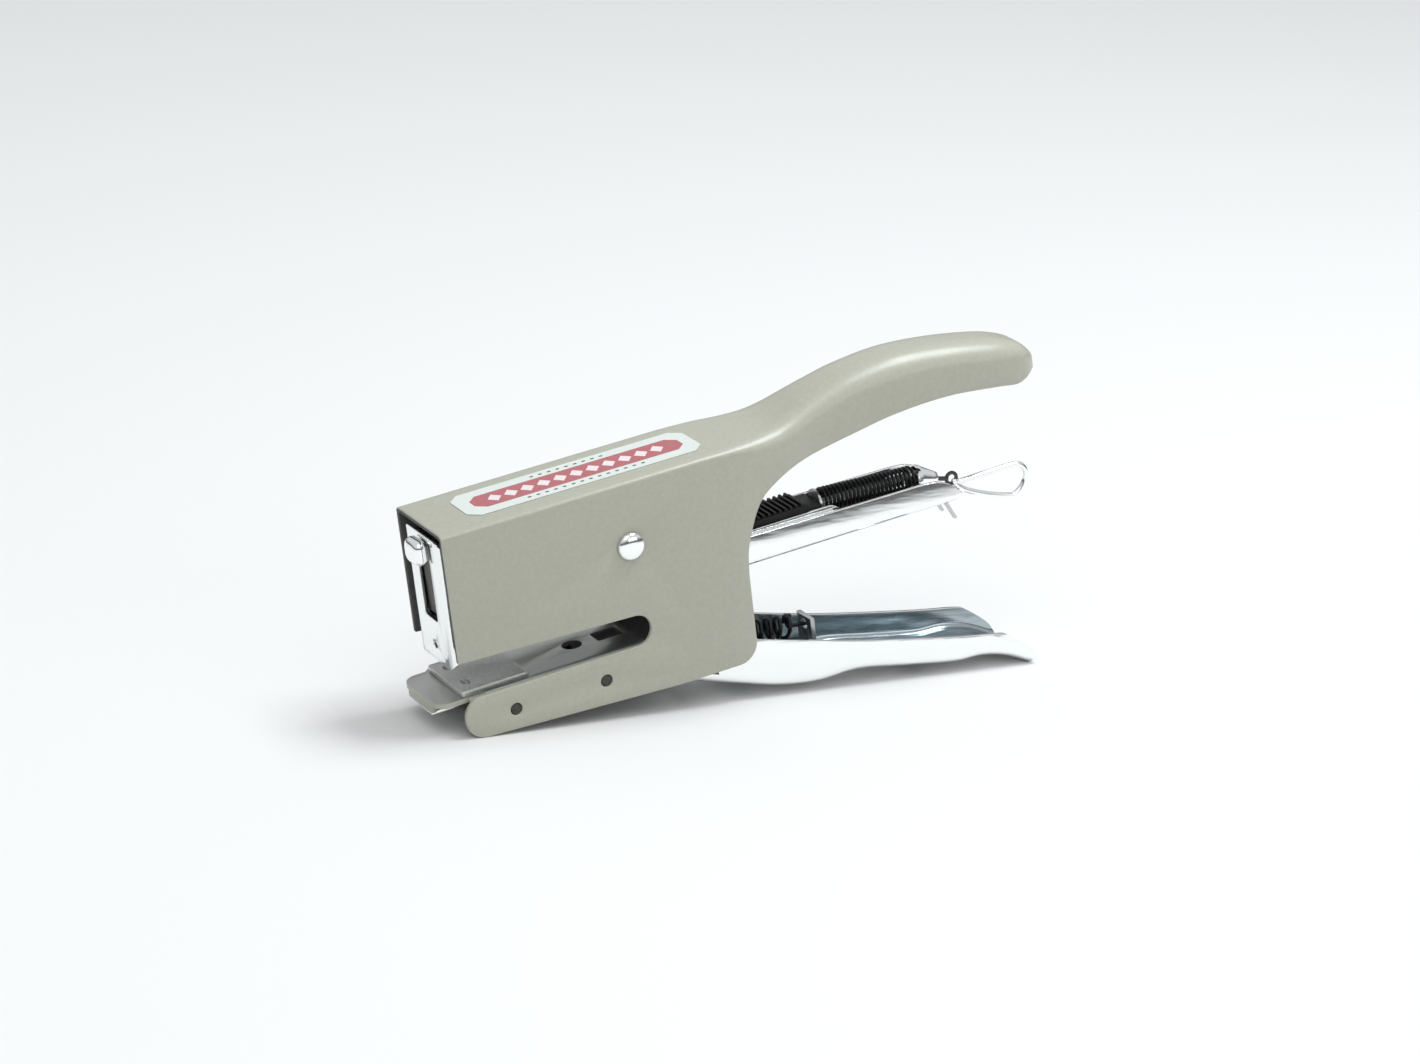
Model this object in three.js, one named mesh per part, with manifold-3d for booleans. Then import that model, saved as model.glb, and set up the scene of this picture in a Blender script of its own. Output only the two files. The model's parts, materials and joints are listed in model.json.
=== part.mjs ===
// A hand plier stapler. A folded steel casing is drawn out into the fixed upper handle, a sprung
// chrome lever hangs below it, and a swinging magazine carries the nose plate, the driver, the
// staples and the pull-out feed rod. Millimetres, +Z up, +X from nose to handle tip.
// Everything is drawn in the casing's own frame, where z = 0 is just under the casing's flat top,
// its front edge is x = 0 and its middle plane is y = 0. The whole is then pitched nose-down until
// it stands on the front of its jaw and the tail of its lever, with the origin under the middle of
// its box.

import * as THREE from "three";
import { mergeVertices } from "three/addons/utils/BufferGeometryUtils.js";
import Module from "manifold-3d";

const wasm = await Module();
wasm.setup();

// ---- Sheet thicknesses and clearances ----
const CASING_SHEET = 1.2;
const LEVER_SHEET = 1.2;
const CHANNEL_SHEET = 1.0;
const RAIL_SHEET = 0.9;
const NOSE_SHEET = 0.8;
const ANVIL_SHEET = 1.2;
const SLIDE_GAP = 0.3; // between pieces that move past each other
const SEAT_GAP = 0.12; // between pieces that are fastened together
const BORE_GAP = 0.06; // radial, between a pin and its hole
const FAR = 100; // further than the object reaches, for cutting tools
const OVERCUT = 1; // how far a cutting tool runs past what it cuts
const CURVE_STEPS = 5; // straight pieces for each stretch of a drawn curve

// ---- Casing and fixed handle ----
const CASING_WIDTH = 24;
const CASING_LENGTH = 74; // nose to rear edge
const TOP_RISE = 0.8; // of the flat top above z = 0, the line that depths are measured from
const TOP_EDGE = { across: 2.2, down: 1.0 }; // how far the round between top and sides runs
const FRONT_HEIGHT = 30.1; // casing wall above the throat, at the nose
const THROAT_DEPTH = 47.8;
const THROAT_RADIUS = 3.75;
const JAW_TOP = 39.3; // depths below z = 0
const JAW_FRONT_BOTTOM = 49.4;
const JAW_REAR_BOTTOM = 51.9;
const JAW_TOP_RADIUS = 4.6;
const JAW_CORNER_RADIUS = 5;
const HANDLE_START = 66; // where the flat top begins to draw out
const HANDLE_REACH = 91.4; // from there to the tip
// share of the reach, half width, crown height, edge round across, edge round down
const HANDLE_STATIONS = [
  [0.0, 12.0, TOP_RISE, TOP_EDGE.across, TOP_EDGE.down],
  [0.092, 11.9, 0.7, 2.6, 1.6],
  [0.163, 11.4, 0.7, 3.6, 2.8],
  [0.224, 10.7, 1.2, 4.6, 3.5],
  [0.275, 9.8, 2.5, 5.2, 4.2],
  [0.326, 9.0, 4.2, 5.6, 4.6],
  [0.397, 8.4, 6.1, 5.8, 5.0],
  [0.468, 8.2, 7.5, 5.9, 5.2],
  [0.6, 8.2, 8.5, 5.9, 5.4],
  [0.743, 8.2, 7.4, 5.9, 5.2],
  [0.885, 8.1, 5.0, 5.8, 4.8],
  [0.94, 7.5, 3.4, 5.4, 4.2],
  [0.975, 6.4, 1.8, 4.6, 3.2],
  [1.0, 4.6, -0.6, 3.0, 1.6],
];
// share of the reach and depth below z = 0, from the casing's rear edge to the tip
const HANDLE_UNDERSIDE = [
  [0.097, 23.4],
  [0.135, 15.2],
  [0.183, 11.3],
  [0.27, 8.3],
  [0.422, 6.3],
  [0.57, 4.4],
  [0.722, 4.0],
  [0.865, 5.4],
  [0.93, 6.4],
  [0.965, 5.9],
];
const TIP_DEPTH = 3.8;
const TIP_WALL = 1.6; // sheets of metal that close the handle's tip
const LOFT_STEP = 3;
const EDGE_STEPS = 6;

// ---- Label on the flat top ----
const LABEL = { start: 10, length: 59, width: 14, chamfer: 3, thickness: 0.2 };
const LABEL_GAP = 0.05;

// ---- Main pivot ----
const PIVOT_X = 45.1;
const PIVOT_DEPTH = 14.7;
const PIVOT_RADIUS = 2.0;
const RIVET_HEAD = { radius: 3.3, height: 1.7 };
const RIVET_SHANK_RISE = 0.57; // how far the shank reaches into each head
const RIVET_SOCKET_RISE = 0.85; // how deep the far head is bored for it
const BUSH_WALL = 1.1;

// ---- Anvil jaw ----
const ANVIL_DEPTH = 39.6; // top of the anvil plate
const ANVIL_TONGUE = { reach: 5.6, halfWidth: 9.6, corner: 3.5, lip: 2.8 };
const ANVIL_REAR = 47;
const ANVIL_FLANGE_DEPTH = 8.6;
const ANVIL_FLANGE_FRONT = 2.4;
const ANVIL_HOLE = { x: 32.9, radius: 2.4 };
const ANVIL_WINDOW = { start: 38.6, end: 45, halfWidth: 2.4 };
const DIE = { front: 0.9, rear: 17.8, halfWidth: 9.3, height: 1.6, corner: 0.8 };
const CLINCH = { x: 3.9, y: 4.75, along: 1.9, across: 3.6, depth: 0.8 };
const JAW_PINS = [
  ["jaw_pin_front", 12.4, 44.9],
  ["jaw_pin_rear", 35.2, 45.1],
];
const JAW_PIN_RADIUS = 1.4;
const BRACE = { front: -5.2, rear: 24, halfWidth: 5, thickness: 0.8 };

// ---- Staples, rail and magazine ----
const STAPLE_CROWN = 12.7; // outside width of a staple
const STAPLE_WIRE = 0.5;
const STAPLE_LEG = 6.2;
const STRIP = { gap: 0.25, rear: 78 }; // gap behind the driver
const RAIL_TOP = 22.9;
const RAIL_REAR = 102.5;
const RAIL_END_RADIUS = 3.2;
const CHANNEL_FLOOR = 30.8; // depth of the channel's underside
const CHANNEL_REAR = 129.5;
const CHANNEL_EAR_REACH = 4.4; // side walls past the end of the floor
const CHANNEL_RIM = 23.2;
const CHANNEL_CHEEK = { rear: 6.5, depth: 4.6 }; // tall walls that guide the driver
const EAR_RADIUS = 6.2;
const EAR_FOOT = 5; // the slope from each side of the ear down to the rim
const EAR_DIP = 0.15 * Math.PI; // how far below the pivot its round runs
const CHEEK_SLOPE = 3; // the slope from the tall cheeks down to the rim
// the round tail of the side walls: distance in front of the tip and depth
const CHANNEL_TAIL = [
  [1, 30.4],
  [0, 29.1],
  [2.4, 26.6],
  [6.2, 24.6],
  [10.5, 24.0],
];
const NOSE_SETBACK = 0.8; // of the nose plate's back face behind the casing's front edge
const NOSE = { top: 2.0, bottom: 33.2, corner: 2.2, flange: 6.5 };
const NOSE_SLOT = { halfWidth: 3.05, top: 3.9, bottom: 22.6, corner: 1 };
const NOSE_HOLE = { depth: 29.1, radius: 1.1 };

// ---- Driver and lever ram ----
const DRIVER_SHEET = 0.7;
const DRIVER_TOP = 3.0;
const DRIVER_BOTTOM = 21.9;
const RAM = { halfWidth: 2.2, top: 4.6, bottom: 8.3, reach: 0.25 };
const RAM_BRIDGE = { start: 38.5, end: 50, top: 4.7, thickness: 2, overlap: 4 };
const RAM_HEAD = { halfWidth: 3.5, top: 3.0, bottom: 9.0, thickness: 2.8, corner: 1.8 };
const WINDOW_GAP = 0.6; // the driver's window round the ram, which swings a little in it

// ---- Feed rod, follower and spring ----
const ROD = { radius: 0.9, depth: 24.2, front: 5.0, rear: 126.8 };
const ROD_STOP = { radius: 1.25, thickness: 1.2 };
const FOLLOWER = { rear: 98.2, top: 20.9, drop: 4.2, ribs: 7, ribDepth: 0.5 };
const FEED_SPRING = {
  radius: 3.3,
  wire: 1.0,
  front: 99.5,
  rear: 123.8,
  frontDepth: 23.6,
  rearDepth: 25.2,
};
const COLLAR_THICKNESS = 0.8;
const END_CLIP = {
  front: 125,
  rear: 131.2,
  rearDepth: 27.0,
  rearRadius: 1.6,
  shell: 0.7,
  cup: 1,
};
const EYE = { x: 135.3, depth: 28.1, radius: 1.35, wire: 0.45, shank: 0.6 };
const LOOP_WIRE_RADIUS = 0.7;
const LOOP_PATH = [
  [137.5, 29.5],
  [145.9, 29.5],
  [151.7, 29.5],
  [154.2, 30.0],
  [155.6, 32.3],
  [154.8, 35.0],
  [152.5, 37.0],
  [150.4, 36.9],
  [145.3, 35.2],
  [140.3, 32.9],
  [138.5, 32.0],
];
const CATCH = { front: 116, halfWidth: 3.6, sheet: 0.7, prongWidth: 1.3, drop: 6.6, lean: 4.3 };

// ---- Lever and its return spring ----
const LEVER_ROOT_X = 54;
const LEVER_REACH = 94.4;
// share of the reach and drop below the casing's rear bottom edge
const LEVER_UNDERSIDE = [
  [0.0, 0.1],
  [0.159, 5.8],
  [0.266, 9.5],
  [0.377, 11.8],
  [0.492, 12.1],
  [0.632, 15.3],
  [0.775, 18.5],
  [0.849, 19.1],
  [0.921, 21.3],
  [0.986, 24.8],
];
const LEVER_RIM = [
  [1.0, 23.5],
  [0.982, 20.4],
  [0.927, 15.6],
  [0.895, 14.2],
  [0.783, 11.7],
  [0.612, 7.4],
  [0.472, 3.6],
  [0.253, -3.1],
  [0.212, -4.4],
];
const LEVER_WEB_START = 59;
const ARM_FRONT_GAP = 1.8; // between the end of the throat and the lever's arm
const ARM_TOP = 4.5;
const ARM_CHAMFER = 1.5;
const ARM_EAR = { radius: 6.8, from: 1.02 * Math.PI, to: 1.4 * Math.PI }; // round the pivot, in front
const NECK_END = { back: 8, drop: 3 }; // from the pivot, where the neck meets the arm
const NECK_PULL = { back: 22, drop: 20 }; // from the pivot, what the neck curves towards
const PAST_TAIL = { back: 10, drop: 1 }; // from the web's last point, where its hollow runs out
const SPRING_ANCHOR = { x: 92.4, sheet: 1.2, halfWidth: 3.4, foot: 8, tip: 50.5, eye: 1.3 };
const RETURN_SPRING = { radius: 3.1, front: 40.5, rear: 88.5, hookRadius: 0.6, rearDepth: 52.6 };

// ---- Materials ----
const finish = (color, roughness, metalness) =>
  new THREE.MeshStandardMaterial({ color, roughness, metalness });
const PAINT = finish(0xa7aa9c, 0.42, 0.1);
const CHROME = finish(0xdde2e1, 0.12, 1);
const BRIGHT_STEEL = finish(0xb9bdbd, 0.3, 1);
const BLUED_STEEL = finish(0x45484a, 0.4, 1);
const BLACK_STEEL = finish(0x1c1d1f, 0.45, 0.6);
const STICKER = finish(0xd5e0d8, 0.35, 0);

// ---- Sizes that follow from the ones above ----
const HALF_CASING = CASING_WIDTH / 2;
const HALF_LEVER = HALF_CASING - CASING_SHEET - SLIDE_GAP;
const HALF_ANVIL = HALF_CASING - CASING_SHEET - SLIDE_GAP - SEAT_GAP;
const HALF_STAPLE = STAPLE_CROWN / 2;
const HALF_CHANNEL = HALF_STAPLE + SLIDE_GAP + CHANNEL_SHEET;
const HALF_RAIL = HALF_STAPLE - STAPLE_WIRE - SEAT_GAP;
const HALF_NOSE = HALF_CHANNEL + SEAT_GAP + NOSE_SHEET;
const DRIVER_FRONT = NOSE_SETBACK + SLIDE_GAP;
const CHANNEL_FRONT = NOSE_SETBACK + SEAT_GAP;
const FLOOR_FRONT = DRIVER_FRONT + DRIVER_SHEET + SLIDE_GAP;
const STRIP_FRONT = FLOOR_FRONT + STRIP.gap;
const RAIL_BOTTOM = CHANNEL_FLOOR - CHANNEL_SHEET - SEAT_GAP;
const HANDLE_TIP = HANDLE_START + HANDLE_REACH;
const THROAT_CENTRE_X = THROAT_DEPTH - THROAT_RADIUS;
const THROAT_CENTRE_DEPTH = JAW_TOP - THROAT_RADIUS;

// ---- Solid helpers ----
/** A closed geometry as a solid, whichever way its faces first pointed. */
function solidOf(geometry) {
  const bare = geometry.index ? geometry.toNonIndexed() : geometry.clone();
  for (const name of Object.keys(bare.attributes)) {
    if (name !== "position") bare.deleteAttribute(name);
  }
  const merged = mergeVertices(bare, 1e-4);
  const faces = [];
  for (let i = 0; i < merged.index.count; i += 3) {
    const face = [0, 1, 2].map((k) => merged.index.getX(i + k));
    if (new Set(face).size === 3) faces.push(face);
  }
  const make = (list) =>
    new wasm.Manifold(
      new wasm.Mesh({
        numProp: 3,
        vertProperties: new Float32Array(merged.attributes.position.array),
        triVerts: new Uint32Array(list.flat()),
      }),
    );
  const made = make(faces);
  return made.volume() > 0 ? made : make(faces.map(([a, b, c]) => [a, c, b]));
}

/** A solid's surface as a geometry that three.js can draw. */
function geometryOf(solid) {
  const { numProp, vertProperties, triVerts } = solid.getMesh();
  const positions = new Float32Array((vertProperties.length / numProp) * 3);
  for (let i = 0; i < positions.length / 3; i += 1) {
    positions.set(vertProperties.subarray(i * numProp, i * numProp + 3), i * 3);
  }
  const geometry = new THREE.BufferGeometry();
  geometry.setAttribute("position", new THREE.BufferAttribute(positions, 3));
  geometry.setIndex(new THREE.BufferAttribute(new Uint32Array(triVerts), 1));
  geometry.computeVertexNormals();
  return geometry;
}

/** Adds a named piece to a group. */
function piece(group, name, solid, material) {
  const mesh = new THREE.Mesh(geometryOf(solid), material);
  mesh.name = name;
  group.add(mesh);
}

const joined = (...parts) => parts.reduce((all, part) => all.add(part));
const without = (body, ...tools) => tools.reduce((rest, tool) => rest.subtract(tool), body);
const extrude = (outline, depth, curveSegments = CURVE_STEPS) =>
  new THREE.ExtrudeGeometry(outline, { depth, curveSegments, bevelEnabled: false });

/** An outline in x and z, thickened across the object from one y to another. */
function slab(outline, fromY, toY) {
  return solidOf(extrude(outline, toY - fromY).rotateX(Math.PI / 2).translate(0, toY, 0));
}

/** An outline in x and y, thickened upwards. */
function plate(outline, fromZ, toZ) {
  return solidOf(extrude(outline, toZ - fromZ).translate(0, 0, fromZ));
}

/** An outline in y and z, thickened rearwards. */
function wall(outline, fromX, toX) {
  const turn = new THREE.Matrix4().makeBasis(
    new THREE.Vector3(0, 1, 0),
    new THREE.Vector3(0, 0, 1),
    new THREE.Vector3(1, 0, 0),
  );
  return solidOf(extrude(outline, toX - fromX).applyMatrix4(turn).translate(fromX, 0, 0));
}

function block([x0, x1], [y0, y1], [z0, z1]) {
  const box = new THREE.BoxGeometry(x1 - x0, y1 - y0, z1 - z0);
  return solidOf(box.translate((x0 + x1) / 2, (y0 + y1) / 2, (z0 + z1) / 2));
}

/** A round bar across the object, centred on its middle plane. */
function crossBar(x, z, radius, halfLength, sides = 24) {
  const bar = new THREE.CylinderGeometry(radius, radius, 2 * halfLength, sides);
  return solidOf(bar.translate(x, 0, z));
}

/** A round bar between two points of the middle plane, of one radius or tapered. */
function lengthBar([x0, z0], [x1, z1], radius, endRadius = radius, sides = 16) {
  const from = new THREE.Vector3(x0, 0, z0);
  const to = new THREE.Vector3(x1, 0, z1);
  const bar = new THREE.CylinderGeometry(endRadius, radius, from.distanceTo(to), sides);
  const turn = new THREE.Quaternion().setFromUnitVectors(
    new THREE.Vector3(0, 1, 0),
    to.clone().sub(from).normalize(),
  );
  const middle = from.add(to).multiplyScalar(0.5);
  return solidOf(bar.applyQuaternion(turn).translate(middle.x, middle.y, middle.z));
}

/** A wire along points of the middle plane, given as x and depth. */
function wire(points, radius, steps, sides = 8) {
  const path = new THREE.CatmullRomCurve3(points.map(([x, d]) => new THREE.Vector3(x, 0, -d)));
  const section = new THREE.Shape();
  for (let i = 0; i < sides; i += 1) {
    const angle = (2 * Math.PI * i) / sides;
    const go = i ? "lineTo" : "moveTo";
    section[go](radius * Math.cos(angle), radius * Math.sin(angle));
  }
  section.closePath();
  const options = { steps, extrudePath: path, bevelEnabled: false };
  return solidOf(new THREE.ExtrudeGeometry(section, options));
}

function polygon(points) {
  return new THREE.Shape(points.map(([a, b]) => new THREE.Vector2(a, b)));
}

function roundedRectangle([a0, a1], [b0, b1], radius) {
  const shape = new THREE.Shape();
  shape.absarc(a1 - radius, b1 - radius, radius, 0, Math.PI / 2);
  shape.absarc(a0 + radius, b1 - radius, radius, Math.PI / 2, Math.PI);
  shape.absarc(a0 + radius, b0 + radius, radius, Math.PI, 1.5 * Math.PI);
  shape.absarc(a1 - radius, b0 + radius, radius, 1.5 * Math.PI, 2 * Math.PI);
  shape.closePath();
  return shape;
}

/** A smooth curve through a table's rows: its first column is where, the given one the value. */
function smooth(table, column, where) {
  const last = table.length - 1;
  const i = Math.min(Math.max(table.findIndex((row) => row[0] > where) - 1, 0), last - 1);
  const k = where >= table[last][0] ? last - 1 : i;
  const slope = (j) => {
    const a = table[Math.max(j - 1, 0)];
    const b = table[Math.min(j + 1, last)];
    return (b[column] - a[column]) / (b[0] - a[0]);
  };
  const span = table[k + 1][0] - table[k][0];
  const t = Math.min(Math.max((where - table[k][0]) / span, 0), 1);
  const rise = t * t * (3 - 2 * t);
  return (
    table[k][column] * (1 - rise) +
    table[k + 1][column] * rise +
    span * (slope(k) * t * (1 - t) * (1 - t) - slope(k + 1) * t * t * (1 - t))
  );
}

/** A solid skin over equal rings of points, closed with a flat face at each end. */
function loft(rings) {
  const count = rings[0].length;
  const positions = rings.flat(2);
  const index = [];
  for (let r = 0; r + 1 < rings.length; r += 1) {
    for (let i = 0; i < count; i += 1) {
      const a = r * count + i;
      const b = r * count + ((i + 1) % count);
      index.push(a, b, a + count, b, b + count, a + count);
    }
  }
  const end = (rings.length - 1) * count;
  for (let i = 1; i + 1 < count; i += 1) {
    index.push(0, i + 1, i, end, end + i, end + i + 1);
  }
  const geometry = new THREE.BufferGeometry();
  geometry.setAttribute("position", new THREE.Float32BufferAttribute(positions, 3));
  geometry.setIndex(index);
  return solidOf(geometry);
}

// ---- Casing ----

/** The casing's cross-section at one x, as a filled inverted U, drawn in by a wall or not at all. */
function casingRing(x, inset) {
  const share = Math.max((x - HANDLE_START) / HANDLE_REACH, 0);
  const [half, crown, across, down] = [1, 2, 3, 4].map((c) => smooth(HANDLE_STATIONS, c, share));
  const taper = HALF_CASING / HANDLE_STATIONS[0][1];
  const w = half * taper - inset;
  const ry = Math.max(across - inset, 0.5);
  const rz = Math.max(down - inset, 0.5);
  const top = crown - inset;
  const ring = [[x, -w, -FAR]];
  for (let i = 0; i <= EDGE_STEPS; i += 1) {
    const angle = (Math.PI / 2) * (i / EDGE_STEPS);
    ring.push([x, ry - w - ry * Math.cos(angle), top - rz + rz * Math.sin(angle)]);
  }
  for (let i = EDGE_STEPS; i >= 0; i -= 1) {
    const angle = (Math.PI / 2) * (i / EDGE_STEPS);
    ring.push([x, w - ry + ry * Math.cos(angle), top - rz + rz * Math.sin(angle)]);
  }
  ring.push([x, w, -FAR]);
  return ring;
}

function casingSkin(fromX, toX, inset) {
  const rings = [casingRing(fromX, inset)];
  for (let x = HANDLE_START; x < toX - LOFT_STEP / 2; x += LOFT_STEP) {
    rings.push(casingRing(x, inset));
  }
  rings.push(casingRing(toX, inset));
  return loft(rings);
}

/** The casing seen from the side: head, throat, jaw, rear edge and handle. */
function casingOutline() {
  const shape = new THREE.Shape();
  const front = JAW_CORNER_RADIUS;
  shape.moveTo(0, FAR);
  shape.lineTo(0, -FRONT_HEIGHT);
  shape.absarc(THROAT_CENTRE_X, -THROAT_CENTRE_DEPTH, THROAT_RADIUS, Math.PI / 2, -Math.PI / 2, true);
  shape.absarc(JAW_TOP_RADIUS, -JAW_TOP - JAW_TOP_RADIUS, JAW_TOP_RADIUS, Math.PI / 2, Math.PI);
  shape.absarc(front, -JAW_FRONT_BOTTOM + front, front, Math.PI, 1.5 * Math.PI);
  shape.lineTo(LEVER_ROOT_X, -JAW_REAR_BOTTOM);
  shape.absarc(CASING_LENGTH - front, -JAW_REAR_BOTTOM + front, front, -Math.PI / 2, 0);
  shape.lineTo(CASING_LENGTH, -FRONT_HEIGHT);
  shape.splineThru(
    HANDLE_UNDERSIDE.map(
      ([share, depth]) => new THREE.Vector2(HANDLE_START + share * HANDLE_REACH, -depth),
    ),
  );
  shape.lineTo(HANDLE_TIP + 1, -TIP_DEPTH);
  shape.lineTo(HANDLE_TIP + 1, FAR);
  shape.closePath();
  return shape;
}

const pivotTool = (radius) => crossBar(PIVOT_X, -PIVOT_DEPTH, radius, FAR);

function makeCasing(group) {
  const skin = casingSkin(0, HANDLE_TIP, 0);
  const hollow = casingSkin(-OVERCUT, HANDLE_TIP - TIP_WALL * CASING_SHEET, CASING_SHEET);
  const pinHoles = JAW_PINS.map(([, x, depth]) =>
    crossBar(x, -depth, JAW_PIN_RADIUS + BORE_GAP, FAR, 16),
  );
  const silhouette = slab(casingOutline(), -FAR, FAR);
  const shell = skin.intersect(silhouette);
  piece(
    group,
    "casing",
    without(shell, hollow, pivotTool(PIVOT_RADIUS + BORE_GAP), ...pinHoles),
    PAINT,
  );
}

function makeLabel(group) {
  const half = LABEL.width / 2;
  const end = LABEL.start + LABEL.length;
  const c = LABEL.chamfer;
  const outline = polygon([
    [LABEL.start, -half + c],
    [LABEL.start + c, -half],
    [end - c, -half],
    [end, -half + c],
    [end, half - c],
    [end - c, half],
    [LABEL.start + c, half],
    [LABEL.start, half - c],
  ]);
  const seat = TOP_RISE + LABEL_GAP;
  piece(group, "label", plate(outline, seat, seat + LABEL.thickness), STICKER);
}

/** A domed rivet head on one side of the casing: side is -1 near and +1 far. */
function rivetDome(side) {
  const seat = HALF_CASING + BORE_GAP;
  const profile = [new THREE.Vector2(0, seat)];
  for (let i = 0; i <= 6; i += 1) {
    const angle = (Math.PI / 2) * (i / 6);
    const rise = RIVET_HEAD.height * Math.sin(angle);
    profile.push(new THREE.Vector2(i === 6 ? 0 : RIVET_HEAD.radius * Math.cos(angle), seat + rise));
  }
  const dome = new THREE.LatheGeometry(profile, 24);
  if (side < 0) dome.rotateX(Math.PI);
  return solidOf(dome.translate(PIVOT_X, 0, -PIVOT_DEPTH));
}

function makePivot(group) {
  const shank = crossBar(PIVOT_X, -PIVOT_DEPTH, PIVOT_RADIUS, HALF_CASING + RIVET_SHANK_RISE);
  piece(group, "pivot_rivet", joined(shank, rivetDome(-1)), CHROME);
  const socket = pivotTool(PIVOT_RADIUS + BORE_GAP).intersect(
    block([0, FAR], [0, HALF_CASING + RIVET_SOCKET_RISE], [-FAR, 0]),
  );
  piece(group, "pivot_rivet_cap", rivetDome(1).subtract(socket), CHROME);
  const bushHalf = HALF_CHANNEL - CHANNEL_SHEET - SLIDE_GAP;
  const tube = crossBar(PIVOT_X, -PIVOT_DEPTH, PIVOT_RADIUS + BORE_GAP + BUSH_WALL, bushHalf);
  piece(group, "pivot_bush", tube.subtract(pivotTool(PIVOT_RADIUS + BORE_GAP)), BRIGHT_STEEL);
}

function makeAnvil(group) {
  const top = -ANVIL_DEPTH;
  const tongue = roundedRectangle(
    [-ANVIL_TONGUE.reach, ANVIL_FLANGE_FRONT + 2 * ANVIL_TONGUE.corner],
    [-ANVIL_TONGUE.halfWidth, ANVIL_TONGUE.halfWidth],
    ANVIL_TONGUE.corner,
  );
  const bed = joined(
    plate(tongue, top - ANVIL_SHEET, top),
    block([ANVIL_FLANGE_FRONT, ANVIL_REAR], [-HALF_ANVIL, HALF_ANVIL], [top - ANVIL_SHEET, top]),
    block(
      [-ANVIL_TONGUE.reach, ANVIL_SHEET - ANVIL_TONGUE.reach],
      [ANVIL_TONGUE.corner - ANVIL_TONGUE.halfWidth, ANVIL_TONGUE.halfWidth - ANVIL_TONGUE.corner],
      [top - ANVIL_TONGUE.lip, top - ANVIL_SHEET / 2],
    ),
  );
  const flanges = [-1, 1].map((side) =>
    block(
      [ANVIL_FLANGE_FRONT, ANVIL_REAR],
      [side * HALF_ANVIL, side * (HALF_ANVIL - ANVIL_SHEET)].sort((a, b) => a - b),
      [top - ANVIL_FLANGE_DEPTH, top - ANVIL_SHEET / 2],
    ),
  );
  const hole = solidOf(
    new THREE.CylinderGeometry(ANVIL_HOLE.radius, ANVIL_HOLE.radius, FAR, 24)
      .rotateX(Math.PI / 2)
      .translate(ANVIL_HOLE.x, 0, top),
  );
  const { start, end, halfWidth } = ANVIL_WINDOW;
  const window = block([start, end], [-halfWidth, halfWidth], [top - FAR, top + FAR]);
  const pinHoles = JAW_PINS.map(([, x, depth]) =>
    crossBar(x, -depth, JAW_PIN_RADIUS + BORE_GAP, FAR, 16),
  );
  piece(group, "anvil_plate", without(joined(bed, ...flanges), hole, window, ...pinHoles), PAINT);

  const dieSeat = top + SEAT_GAP;
  const die = plate(
    roundedRectangle([DIE.front, DIE.rear], [-DIE.halfWidth, DIE.halfWidth], DIE.corner),
    dieSeat,
    top + DIE.height,
  );
  const pockets = [-1, 1].map((side) =>
    block(
      [CLINCH.x - CLINCH.along / 2, CLINCH.x + CLINCH.along / 2],
      [side * CLINCH.y - CLINCH.across / 2, side * CLINCH.y + CLINCH.across / 2],
      [top + DIE.height - CLINCH.depth, top + DIE.height + 1],
    ),
  );
  piece(group, "anvil_die", without(die, ...pockets), BRIGHT_STEEL);

  for (const [name, x, depth] of JAW_PINS) {
    piece(group, name, crossBar(x, -depth, JAW_PIN_RADIUS, HALF_CASING - BORE_GAP, 16), BLUED_STEEL);
  }

  const [, pinX, pinDepth] = JAW_PINS[0];
  const braceTop = -(pinDepth - JAW_PIN_RADIUS - SEAT_GAP);
  const brace = block(
    [BRACE.front, BRACE.rear],
    [-BRACE.halfWidth, BRACE.halfWidth],
    [braceTop, braceTop + BRACE.thickness],
  );
  const hook = without(
    crossBar(pinX, -pinDepth, JAW_PIN_RADIUS + SEAT_GAP + BRACE.thickness, BRACE.halfWidth, 16),
    crossBar(pinX, -pinDepth, JAW_PIN_RADIUS + SEAT_GAP, FAR, 16),
    block([pinX - FAR, pinX], [-FAR, FAR], [-FAR, -pinDepth]),
  );
  piece(group, "anvil_brace", joined(brace, hook), CHROME);
}

// ---- Lever ----
const leverPoint = ([share, drop]) =>
  new THREE.Vector2(LEVER_ROOT_X + share * LEVER_REACH, -JAW_REAR_BOTTOM - drop);

function leverOutline() {
  const shape = new THREE.Shape();
  const armFront = THROAT_DEPTH + ARM_FRONT_GAP;
  const underside = LEVER_UNDERSIDE.map(leverPoint);
  const rim = LEVER_RIM.map(leverPoint);
  shape.moveTo(underside[0].x, underside[0].y);
  shape.splineThru(underside.slice(1));
  shape.lineTo(rim[0].x, rim[0].y);
  shape.splineThru(rim.slice(1));
  shape.quadraticCurveTo(
    PIVOT_X + NECK_PULL.back,
    -PIVOT_DEPTH - NECK_PULL.drop,
    PIVOT_X + NECK_END.back,
    -PIVOT_DEPTH - NECK_END.drop,
  );
  shape.lineTo(RAM_BRIDGE.end, -ARM_TOP);
  shape.lineTo(RAM_BRIDGE.start, -ARM_TOP);
  shape.lineTo(RAM_BRIDGE.start - ARM_CHAMFER, -ARM_TOP - ARM_CHAMFER);
  shape.absarc(PIVOT_X, -PIVOT_DEPTH, ARM_EAR.radius, ARM_EAR.from, ARM_EAR.to);
  shape.lineTo(armFront, -FRONT_HEIGHT);
  shape.lineTo(armFront, -JAW_FRONT_BOTTOM + JAW_TOP_RADIUS);
  shape.closePath();
  return shape;
}

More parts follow.
